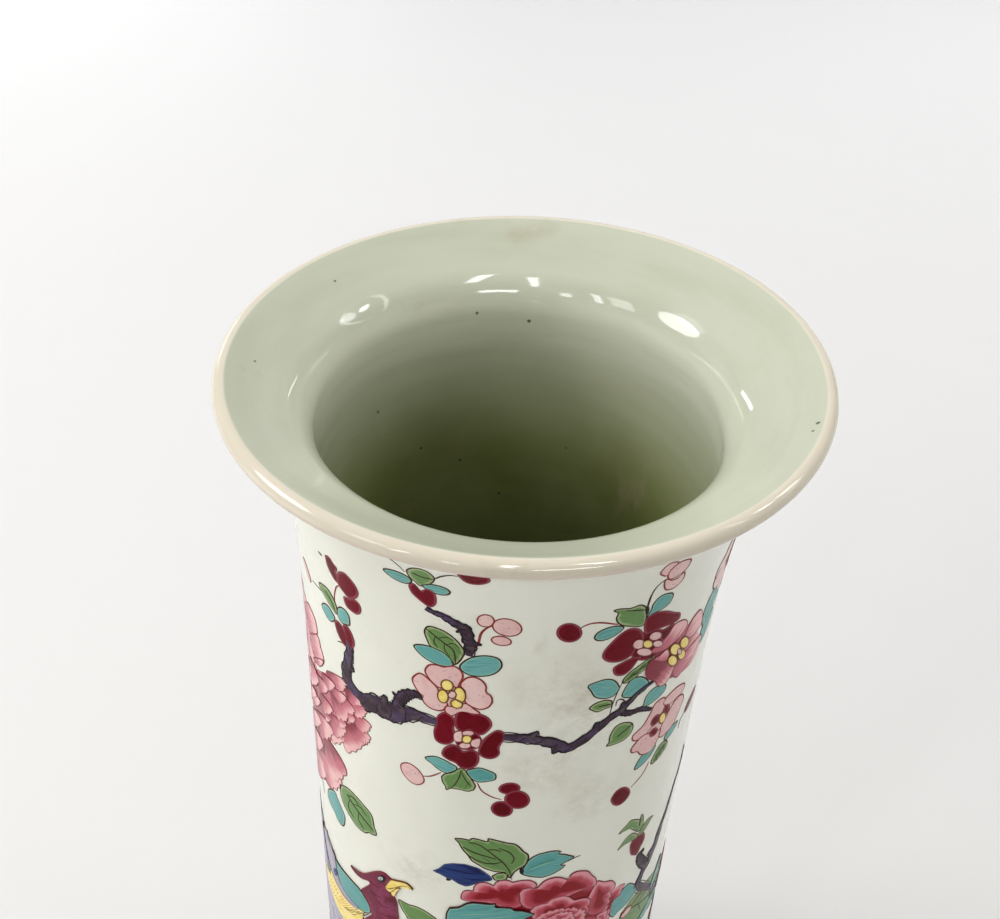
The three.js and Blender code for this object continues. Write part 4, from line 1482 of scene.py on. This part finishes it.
side_leaves = {
    "turquoise": pairs(340, 1030, 350, 1010, 390, 1030, 410, 1080, 440, 1150, 470, 1230, 460, 1300, 420, 1260,
        390, 1190, 360, 1130, 340, 1070),
    "green": pairs(440, 985, 450, 980, 500, 1010, 560, 1070, 620, 1140, 670, 1200, 690, 1250, 700, 1310, 720, 1370,
        690, 1370, 655, 1350, 630, 1355, 570, 1310, 520, 1240, 470, 1150, 445, 1080, 435, 1020),
}
for colour, outline in side_leaves.items():
    tip = outline[6] if colour == "turquoise" else outline[8]
    traced(SIDE_VIEW, colour, outline, 1, 0.38, outline[0], tip)
stem(SIDE_VIEW([(490, 1050), (530, 1120), (580, 1190), (690, 1330)]), 0.3, "brown line", 5)
for path in ([(500, 1060), (540, 1080), (575, 1130)], [(540, 1130), (590, 1150), (640, 1220)], [(580, 1190),
    (580, 1250), (620, 1320)], [(510, 1090), (500, 1150), (540, 1230)]):
    stem(SIDE_VIEW(path), 0.22, "brown line", 4.6)
stroke("lilac", SIDE_VIEW([(270, 820), (300, 960), (310, 1040)]), 0.7, 1)
print("peonies done")

# %% [markdown]
# ## The bird
# A long-tailed bird with a ruby head and a hooked yellow beak sits low at the left. Its head, its neck and its wing
# tips show. The rest is below the frame and round the side, so it is of my own drawing, in the same enamels.

# %% Head, neck and wing tips, as the photograph shows them
head = pairs(606, 722, 576, 697, 520, 680, 470, 642, 425, 590, 390, 532, 430, 580, 490, 620, 560, 625, 620, 612,
    690, 605, 760, 625, 800, 665, 830, 690, 805, 745, 795, 780)
neck = pairs(790, 800, 825, 850, 870, 900, 890, 960, 895, 1020, 905, 1125, 890, 1220, 760, 1240, 680, 1125, 640, 1090,
    612, 1030, 590, 950, 550, 880, 508, 806, 530, 785, 590, 752)
upper_beak = pairs(770, 770, 800, 720, 830, 690, 880, 700, 950, 715, 1010, 740, 1070, 805, 1020, 770, 950, 765,
    890, 780, 850, 810, 820, 825, 790, 800)
lower_beak = pairs(830, 830, 880, 790, 930, 780, 900, 810, 880, 850, 860, 870)
turquoise_feather = pairs(225, 465, 270, 540, 380, 680, 480, 790, 540, 880, 590, 970, 605, 1040, 580, 1055, 520, 1030,
    440, 970, 370, 890, 310, 800, 265, 680, 240, 560)
yellow_edges = pairs(130, 500, 160, 570, 200, 680, 270, 800, 340, 900, 430, 970, 520, 1040, 600, 1060, 640, 1090,
    700, 1125), pairs(130, 500, 130, 560, 150, 720, 180, 830, 240, 930, 290, 980, 340, 1060, 370, 1125)
lilac_edges = pairs(145, 230, 175, 320, 220, 430, 245, 560, 270, 680, 320, 800, 380, 890, 500, 1010), pairs(95, 60,
    120, 250, 150, 420, 170, 520, 205, 640, 270, 780, 335, 880, 440, 980)
grey_edges = [(135, 720), (172, 850), (195, 950), (230, 1125)], [(160, 745), (205, 860), (262, 950), (345, 1090)]
leaf_by_neck = pairs(905, 915, 960, 940, 1020, 970, 1080, 985, 1160, 1020, 1240, 1070, 1320, 1140, 1250, 1190,
    1120, 1190, 1010, 1125, 990, 1090, 940, 1010)


RIBBON_POINTS = 24


def ribbon(colour, view, edges, layer, line=None, relief=0.08):
    """A long shape, painted as one broad stroke between its two edges."""
    one, other = (smooth(view(edge), RIBBON_POINTS, False) for edge in edges)
    stroke(colour, (one + other) / 2, np.hypot(*(one - other).T), layer, relief, 0.2, blank=wide_stroke)
    if line:
        for edge in (one, other):
            stroke(line, edge, 0.28, layer + 2.4, blank=long_stroke)
    return one, other


dab("lilac", pairs(-64, 124, -57, 121, -52, 110, -48, 100, -44, 88, -52, 80, -62, 84, -67, 98, -67, 112), 5.2,
    (-50, 80), (-60, 124), 0.02)
ribbon("lilac", BIRD_VIEW, grey_edges, 5.8)
top, bottom = ribbon("yellow", BIRD_VIEW, yellow_edges, 6.2)
for number in range(20):
    share = 0.1 + 0.042 * number
    row = round(share * (RIBBON_POINTS - 1))
    for low in (0.1, 0.45):
        start = top[row] * (1 - low) + bottom[row] * low
        end = start + (bottom[row] - top[row]) * 0.24 + (0.25, -0.35)
        colour, width = ("yellow", 0.16) if number < 15 else ("brown line", 0.12)
        stem([start, (start + end) / 2 + (0.12, 0), end], width, colour, 10.4)
ribbon("lilac", BIRD_VIEW, lilac_edges, 7.4, "brown line")
dab("blue", oval(BIRD_VIEW, 232, 610, 18, 46, -15), 11, small=True)
traced(BIRD_VIEW, "turquoise", turquoise_feather, 8.2, 0.3, (590, 1040), (225, 465))
dab("plum", BIRD_VIEW(neck + [(620, 725), (700, 690), (790, 740)]), 10, blank=fine_dab)
dab("plum", BIRD_VIEW(head + [(760, 820), (680, 810), (620, 760)]), 10.6, blank=fine_dab)
stroke("rose line", BIRD_VIEW(head + neck), 0.24, 11.4, closed=True, blank=fine_stroke)
traced(BIRD_VIEW, "yellow", lower_beak, 12, 0.2)
traced(BIRD_VIEW, "yellow", upper_beak, 13, 0.22)
stem(BIRD_VIEW([(770, 770), (820, 782), (880, 770), (950, 752), (1010, 760)]), 0.2, "amber line", 16)
dab("black line", oval(BIRD_VIEW, 732, 680, 44, 38), 14, small=True)
dab("eye white", oval(BIRD_VIEW, 722, 672, 27, 18, 10), 17, small=True)
dab("black line", oval(BIRD_VIEW, 724, 674, 8, 8), 20, small=True)
traced(BIRD_VIEW, "green", leaf_by_neck, 2, 0.34, (1300, 1190), (905, 915))
stem([BIRD_VIEW((1290, 1150)), (4, 113), (11, 104)], 0.7, "brown line")
for path in ([(600, 700), (640, 740), (690, 770)], [(620, 820), (660, 860), (720, 880)], [(690, 930), (730, 970),
    (790, 990)], [(730, 1050), (770, 1080), (830, 1090)]):
    stem(BIRD_VIEW(path), 0.3, "rose line", 15)
print("bird's head done")

# %% [markdown]
# ## What the photograph does not show
# The bird's body, the lower front, both sides and the back are of my own drawing, in the forms and enamels of the
# part that shows. Places are on the flat sheet now. A bough and all that grows from it is one spray.

# %% The bird's body, wing, tail and perch
SHOULDER = (-33, 112)
bird_body = pairs(-24.5, 126, -20, 123, -16.5, 117, -15, 110, -15.5, 103, -19, 95, -25, 88, -33, 83, -42, 80, -47, 84,
    -44, 92, -40, 100, -37, 107, -33, 114, -29, 121)
scale_rows = [(117, -28, -18), (113, -30, -17), (109, -32, -17), (105, -34, -17), (101, -36, -18), (97, -38, -20),
    (93, -40, -23), (89, -42, -27), (85, -43, -33)]
flight_feathers = [
    ((-66, 130), 6.5, "lilac"), ((-75, 122), 7, "blue"), ((-81, 112), 7, "turquoise"), ((-83, 101), 7, "lilac"),
    ((-81, 91), 7, "blue"), ((-76, 83), 6.5, "turquoise"), ((-69, 77), 6.5, "lilac"), ((-61, 74), 6, "blue"),
    ((-54, 75), 5.5, "turquoise"),
]
tail_feathers = [
    ([(-43, 84), (-60, 70), (-80, 58), (-98, 52)], "turquoise"),
    ([(-43, 83), (-60, 64), (-78, 48), (-96, 40)], "blue"), ([(-42, 82), (-56, 60), (-72, 42), (-90, 30)], "ruby"),
    ([(-41, 82), (-52, 58), (-64, 38), (-80, 24)], "turquoise"),
    ([(-40, 82), (-47, 58), (-56, 38), (-67, 20)], "blue"),
]


def feather(colour, base, tip, width, layer):
    """A flight feather with a shaft and fine barbs."""
    widths = width * np.array([0.4, 0.75, 0.95, 1, 0.95, 0.8, 0.4])
    line = smooth(along_to(base, tip, [(0, 0), (0.5, 0.1), (1, 0)], width), 7, False)
    stroke(colour, line, widths, layer, 0.09, 0.3, blank=wide_stroke)
    heading = (tip - line[0]) / np.hypot(*(tip - line[0]))
    edge = np.column_stack([-heading[1] * widths / 2, heading[0] * widths / 2])
    for border in (line + edge, line - edge, line):
        stroke("brown line", np.vstack([border[:-1], tip]), 0.3, layer + 2.6, blank=long_stroke)
    for share in (0.4, 0.52, 0.64, 0.76, 0.86):
        for side in (-1, 1):
            barb = [(share, 0), (share + 0.04, 0.16 * side), (share + 0.07, 0.3 * side)]
            stroke("brown line", along_to(base, tip, barb, width), 0.18, layer + 3)


for number, (tip, width, colour) in enumerate(flight_feathers):
    feather(colour, SHOULDER, tip, width, 0.6 + 0.3 * (number % 2))
for number, (path, colour) in enumerate(tail_feathers):
    stroke(colour, path, [2.0, 3.4, 4.2, 3.0], 1 + 0.5 * number, 0.1, 0.6, blank=wide_stroke)
    line = smooth(path, 40, False)
    stroke("brown line", line, 0.3, 5 + 0.5 * number, blank=long_stroke)
    for at in range(6, 38, 3):
        start, heading = line[at], line[at + 1] - line[at - 1]
        sideways = np.array([-heading[1], heading[0]]) / np.hypot(*heading)
        for out in (-sideways, sideways):
            barb = [start, start + out + heading * 0.3, start + out * 1.7 + heading]
            stroke("brown line", barb, 0.24, 5.4 + 0.5 * number)
outlined("plum", bird_body, 4, 0.34)
for row, (height, left, right) in enumerate(scale_rows):
    for across in np.arange(left + 1.4 * (row % 2), right, 2.8):
        stroke("pink", [(across - 1.1, height + 0.9), (across, height - 0.5), (across + 1.1, height + 0.9)], 0.26, 8)
for foot in ((-25, 77.5), (-31, 78)):
    stroke("yellow", [(foot[0] - 0.5, 89), (foot[0] + 0.3, 84), foot], 1.0, 3, 0.06)
    for toe in (-2.4, -0.4, 2.0):
        stroke("yellow", [foot, (foot[0] + toe * 0.6, foot[1] - 0.8), (foot[0] + toe, foot[1] - 2.6)], 0.7, 6, 0.05)
print("bird done")


# %% A bough and what grows from it
def grow(kind, foot, lean, size, layer, bend):
    """A leaf, a blossom or a bud on its stalk, leaning one way from a foot."""
    if kind in ("pink", "ruby"):
        middle = foot + lean * size * 1.15
        stem([foot, (foot + middle) / 2, middle], 0.5, "brown line", layer)
        blossom(kind, middle, size, math.degrees(math.atan2(lean[1], lean[0])), layer + 3)
    elif kind.endswith("bud"):
        end = foot + lean * size * 1.6
        stem([foot, foot + lean * size * 0.8 + (0, size * 0.2), end], 0.36, "red line", layer)
        bud(kind.split()[0], end, end + lean * size, size * 0.72, layer + 1,
            "red line" if kind == "pink bud" else "rose line")
    else:
        leaf(kind, foot, foot + lean * size, size * 0.42, bend, layer + 1)


SPRAY_POINTS = 101


def spray(path, widths, growth, layer=1.0):
    """A bough, and its growth as share along it, side, kind and size in millimetres."""
    line = smooth(path, SPRAY_POINTS, False)
    wander = np.linspace(0, 9, SPRAY_POINTS)
    line[:, 0] += 1.1 * np.sin(2.1 * wander + line[0, 0]) + 0.7 * np.abs(np.sin(1.7 * wander + line[0, 1]))
    branch(line[::4], widths, layer, [(12, 1, widths[1] * 0.4), (20, -1, 1.2), (26, -1, widths[2] * 0.4),
        (35, 1, 1.1), (44, 1, widths[3] * 0.4)])
    heading, sideways = directions(line)
    for share, side, kind, size in growth:
        at = round(share * (SPRAY_POINTS - 1))
        lean = sideways[at] * side + heading[at] * 0.7
        grow(kind, line[at], lean / np.hypot(*lean), size, layer + 3, 0.08 * side)


R, L = -1, 1  # to the right or the left of the way the bough grows
spray(pairs(72, 28, 82, 50, 78, 74, 66, 95, 52, 112, 43, 122, 40.4, 127.1), [8.5, 7, 6, 5, 4.2, 3.6, 3.2], [
    (0.22, R, "green", 15), (0.3, L, "turquoise", 13), (0.36, R, "ruby bud", 5), (0.47, L, "pink", 8.5),
    (0.56, R, "green", 13), (0.62, L, "green", 12), (0.68, R, "ruby", 8), (0.78, L, "turquoise", 11),
    (0.86, R, "turquoise", 10), (0.93, L, "pink bud", 4),
])
spray(pairs(80, 58, 92, 80, 105, 100, 110, 124, 115, 150, 124, 180, 134, 210, 130, 236), [6.4, 5.6, 5, 4.4, 3.8, 3,
    2.2, 1], [
    (0.12, R, "turquoise", 14), (0.2, R, "pink", 9), (0.24, L, "green", 13), (0.34, R, "green", 14),
    (0.4, R, "ruby", 8.5), (0.5, R, "turquoise", 12), (0.56, L, "pink bud", 4.6), (0.62, R, "pink", 8.5),
    (0.7, L, "ruby", 8), (0.74, R, "green", 12), (0.8, L, "turquoise", 11), (0.87, R, "ruby bud", 4.6),
    (0.92, L, "green", 10), (0.97, R, "pink bud", 4.4), (1.0, L, "ruby bud", 4),
], 2)
spray(pairs(110, 126, 102, 146, 92, 164, 88, 186, 79, 206, 82, 226), [4.2, 3.8, 3.2, 2.6, 2, 1], [
    (0.14, L, "green", 12), (0.3, R, "ruby", 8), (0.36, L, "turquoise", 11), (0.5, L, "pink", 8.5),
    (0.6, R, "turquoise", 11), (0.7, R, "pink bud", 4.6), (0.78, L, "green", 11), (0.9, R, "ruby", 7.5),
    (0.97, L, "ruby bud", 4.4), (1.0, R, "turquoise", 9),
], 2)
spray(pairs(-114, 16, -119, 48, -127, 84, -122, 120, -131, 152, -124, 186, -132, 214, -126, 236),
    [8.5, 7, 6, 5, 4.4, 3.4, 2.2, 1], [
    (0.1, L, "green", 15), (0.18, L, "turquoise", 13), (0.26, R, "green", 12), (0.32, L, "pink", 9),
    (0.42, L, "green", 13), (0.48, L, "ruby", 8.5), (0.55, R, "turquoise", 12), (0.6, R, "pink bud", 4.6),
    (0.66, L, "turquoise", 11), (0.72, R, "ruby", 8), (0.8, L, "pink", 8), (0.86, R, "green", 12),
    (0.93, L, "ruby bud", 4.6), (0.97, R, "turquoise", 10), (1.0, L, "pink bud", 4),
])
spray([(-121, 128), (-110, 138), (-103, 148), (-96, 150)], [4, 3.2, 2.4, 1.2], [
    (0.3, R, "turquoise", 11), (0.5, L, "green", 11), (0.7, R, "pink bud", 4.4), (1.0, R, "ruby bud", 4.4),
], 2)
spray(pairs(71, 34, 50, 43, 32, 50, 16, 60, -6, 70, -26, 75.5, -44, 75, -58, 68, -68, 70), [7, 6.4, 5.8, 5.2, 4.6, 4,
    3.2, 2.2, 1], [
    (0.12, L, "turquoise", 12), (0.24, R, "ruby", 8), (0.35, R, "green", 15), (0.42, L, "turquoise", 13),
    (0.47, R, "pink", 9), (0.53, L, "green", 13), (0.58, R, "ruby", 8.5), (0.65, L, "turquoise", 12),
    (0.71, L, "pink", 8.5), (0.8, L, "ruby bud", 5), (0.85, L, "green", 12), (0.94, L, "pink bud", 4.6),
])
spray([(22, 44), (14, 70), (11, 92), (15, 114)], [3, 2.6, 2.4, 2.2], [
    (0.3, R, "green", 22), (0.44, L, "turquoise", 18), (0.6, R, "turquoise", 20), (0.7, L, "green", 20),
        (0.9, R, "green", 20), (0.95, L, "turquoise", 16),
])
spray([(-106, 16), (-101, 48), (-96, 74), (-86, 122), (-77, 160)], [3.4, 3, 2.8, 2.6, 2.4], [
    (0.12, R, "green", 18), (0.2, L, "turquoise", 15), (0.62, R, "green", 20), (0.7, L, "turquoise", 18),
        (0.82, R, "turquoise", 18), (0.88, L, "green", 16),
])
print("sprays done")

# %% Flowers, the rock and the grass low down
peony((-98, 100), 18, 12, 6)
for colour, base, tip in (("green", (-84, 108), (-68, 124)), ("turquoise", (-110, 112), (-118, 98)),
    ("green", (-86, 92), (-70, 84))):
    leaf(colour, base, tip, 8, 0.1, 5)
for kind, middle, radius, turn in (("pink", (77, 239), 7.5, 20), ("ruby", (-108, 236), 7, 50), ("pink", (-86, 236), 7,
    10), ("ruby", (104, 238), 7, 80)):
    blossom(kind, middle, radius, turn, 3)
    for angle, colour in ((200, "turquoise"), (320, "green"), (80, "turquoise")):
        leaf(colour, around(middle, radius * 0.8, angle), around(middle, radius * 2, angle), radius * 0.6)
rocks = {
    "blue": pairs(-34, 15, -37, 24, -30, 30, -27, 38, -16, 41, -8, 35, -9, 29, 0, 24, -2, 15),
    "turquoise": pairs(-6, 15, -5, 27, 2, 33, 1, 42, 10, 51, 22, 49, 24, 41, 31, 36, 29, 26, 32, 15),
    "green": pairs(27, 15, 29, 28, 36, 30, 38, 38, 48, 40, 56, 33, 54, 26, 60, 15),
    "lilac": pairs(55, 15, 57, 27, 66, 32, 70, 42, 82, 40, 84, 31, 92, 27, 94, 15),
    "bark": pairs(-126, 15, -128, 24, -118, 30, -108, 28, -98, 24, -96, 15),
}
for number, (colour, outline) in enumerate(rocks.items()):
    middle = np.mean(outline, axis=0)
    outlined(colour, outline, 1 + 5 * (number % 2), 0.5, middle - (0, 20), middle + (0, 22), 0.12, line="black line")
    for share in (0.72, 0.46):
        ring = middle + (np.array(outline, float) - middle) * share
        stroke("black line", ring[1:-1], 0.3, 6 + 5 * (number % 2))
    for across in (-6, 0, 6):
        stroke("black line", [middle + (across, 5), middle + (across + 1.6, 1), middle + (across + 0.6, -4)], 0.26,
            6.5 + 5 * (number % 2))
    hole = [around(middle + (3, 3), 2.6, 45 * step, 0.7) for step in range(8)]
    dab("black line", hole, 6 + 5 * (number % 2), small=True)
for middle in (-87, -79, -66, -56, -43, 45, 66, 100, 107, 121, 133, -139, -131):
    for number, reach in enumerate(shades.uniform(0.6, 1.2, 5) * (7, 10, 12, 9, 6)):
        tip = around((middle, 14.5), reach, 138 - 24 * number + 6 * math.sin(middle + number))
        stroke("green", [(middle, 14.5), ((middle + tip[0]) / 2, 15 + reach * 0.6), tip], [1.2, 1.1, 0.3], 8, 0.05)
print("hidden sides done:", sum(len(copies) for copies in painting.values()), "dabs and strokes in all")

# %% [markdown]
# ## Joining the painting
# The copies of each colour are joined into one piece, which rides on the vase and takes the enamel finish made
# above for that colour. The blanks are then thrown away.

# %% Join the dabs and strokes of each colour
PAINT_SHARP_ANGLE = math.radians(60)
for colour, copies in painting.items():
    deselect_all()
    for copy in copies:
        copy.select_set(True)
    bpy.context.view_layer.objects.active = copies[0]
    bpy.ops.object.join()
    piece = bpy.context.object
    piece.name = "painted_" + colour.replace(" ", "_")
    bpy.ops.object.mode_set(mode="EDIT")
    bpy.ops.mesh.select_all(action="SELECT")
    bpy.ops.mesh.normals_make_consistent(inside=False)
    bpy.ops.object.mode_set(mode="OBJECT")
    bpy.ops.object.shade_smooth_by_angle(angle=PAINT_SHARP_ANGLE)
    finish, slot = FINISHES[colour]
    piece.data.materials.clear()
    piece.data.materials.append(finish)
    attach(piece, "root")
    piece.data.calc_loop_triangles()
    print(f"{piece.name}: {len(copies)} copies, {len(piece.data.loop_triangles)} triangles")
deselect_all()
for blank in ALL_BLANKS:
    blank.select_set(True)
bpy.ops.object.delete()

# %% [markdown]
# ## The floor and the light
# The vase stood on a plain pale surface, in soft light from both sides and above. Soft boxes at the left and the
# right make the two big shines on the knee of the mouth. Two upright lamps over the camera make the arc at the back,
# one behind the camera makes the bar under it, and small lamps at its left make the row of squares. Each stands
# where a ray from the camera, mirrored on the glaze, would meet it. Some are seen only in the glaze, and the ceiling
# light isn't, so marks and brightness are set apart.

# %% Pale floor
bpy.ops.mesh.primitive_plane_add(size=9, location=(0, 2, 0))
table = bpy.context.object
table.name = "pale_floor"
pale_paper, maker, places, connect = new_finish("pale_floor", Roughness=0.9, IOR=1.3)
# Painted light on the floor: its colour is darker near the vase and paler far off, and a faint glow that grows with
# distance, strongest towards the left, is painted in as emission.
far = maker.axis(places, 1).rising(-2.1, -0.9)
sideways = maker.axis(places, 0)
glow = (far * far) * ((0 - sideways).rising(0.0, 0.6) * 0.22 + sideways.rising(0.0, 0.6) * 0.12 + 0.11)
pale_paper.node_tree.nodes["Principled BSDF"].inputs["Emission Strength"].default_value = 1
connect(Base_Color=far.blend((229, 228, 226), (253, 252, 252)), Emission_Color=glow)
table.data.materials.append(pale_paper)

# %% Soft boxes and lamps
MOUTH = np.array([0, 0, 250])


def soft_box(name, towards, distance, width, tall, power, shape="RECTANGLE", spin=0, lights=True, mirrored=True):
    """An area light at a distance from the mouth in a given direction, facing the mouth, spun by some degrees."""
    towards = np.array(towards, float) / np.linalg.norm(towards)
    bpy.ops.object.light_add(type="AREA")
    lamp = bpy.context.object
    lamp.name = name
    lamp.data.shape = shape
    lamp.data.size = width * MM
    lamp.data.size_y = tall * MM
    lamp.data.energy = power
    lamp.visible_diffuse = lights
    lamp.visible_glossy = mirrored
    across = np.cross([0, 0, 1], towards)
    across /= np.linalg.norm(across)
    place_at(lamp, MOUTH + towards * distance, across, np.cross(towards, across), towards)
    lamp.matrix_world @= Matrix.Rotation(math.radians(spin), 4, "Z")


soft_box("left_box", (-0.817, 0.043, 0.575), 1108, 500, 400, 4.9, "ELLIPSE", -40)
soft_box("left_box_glow", (-0.708, 0.199, 0.677), 1140, 360, 280, 0.6, "ELLIPSE", -46)
soft_box("right_box", (0.744, 0.177, 0.644), 1005, 830, 330, 1.35, "ELLIPSE", 47, mirrored=False)
soft_box("right_box_mark", (0.744, 0.177, 0.644), 1005, 830, 400, 4.5, "ELLIPSE", 47, lights=False)
soft_box("right_box_core", (0.664, 0.224, 0.715), 980, 190, 75, 0.5, "ELLIPSE", 50)
soft_box("right_box_edge", (0.6915, 0.337, 0.657), 990, 300, 110, 0.55, "ELLIPSE", 40)
soft_box("arch_lamp_left", (0.277, -0.36, 0.891), 1000, 90, 330, 1.3, lights=False)
soft_box("arch_lamp_right", (-0.048, -0.588, 0.807), 1000, 65, 420, 1.2, lights=False)
soft_box("behind_camera_lamp", (0.245, -0.842, 0.48), 1500, 520, 150, 3.6, lights=False)
soft_box("small_lamp_a", (-0.325, -0.811, 0.487), 1500, 135, 210, 0.9)
soft_box("small_lamp_b", (-0.544, -0.633, 0.55), 1500, 110, 420, 1.4)
soft_box("small_lamp_c", (-0.675, -0.465, 0.572), 1500, 300, 420, 1.8)
soft_box("back_left_window", (-0.56, 0.79, 0.20), 2300, 460, 150, 2.3)
soft_box("low_left_box", (-0.93, -0.2, -0.25), 620, 420, 300, 0.4)
soft_box("back_right_window", (0.425, 0.85, 0.305), 2300, 420, 60, 0.5)
soft_box("ceiling_light", (0.1, 0.3, 0.95), 1200, 500, 500, 3.0, mirrored=False)
world = bpy.data.worlds.new("white_room")
bpy.context.scene.world = world
world.use_nodes = True
world.node_tree.nodes["Background"].inputs[0].default_value = (1, 1, 1, 1)
world.node_tree.nodes["Background"].inputs[1].default_value = 0.44
print("lights:", len(bpy.data.lights))
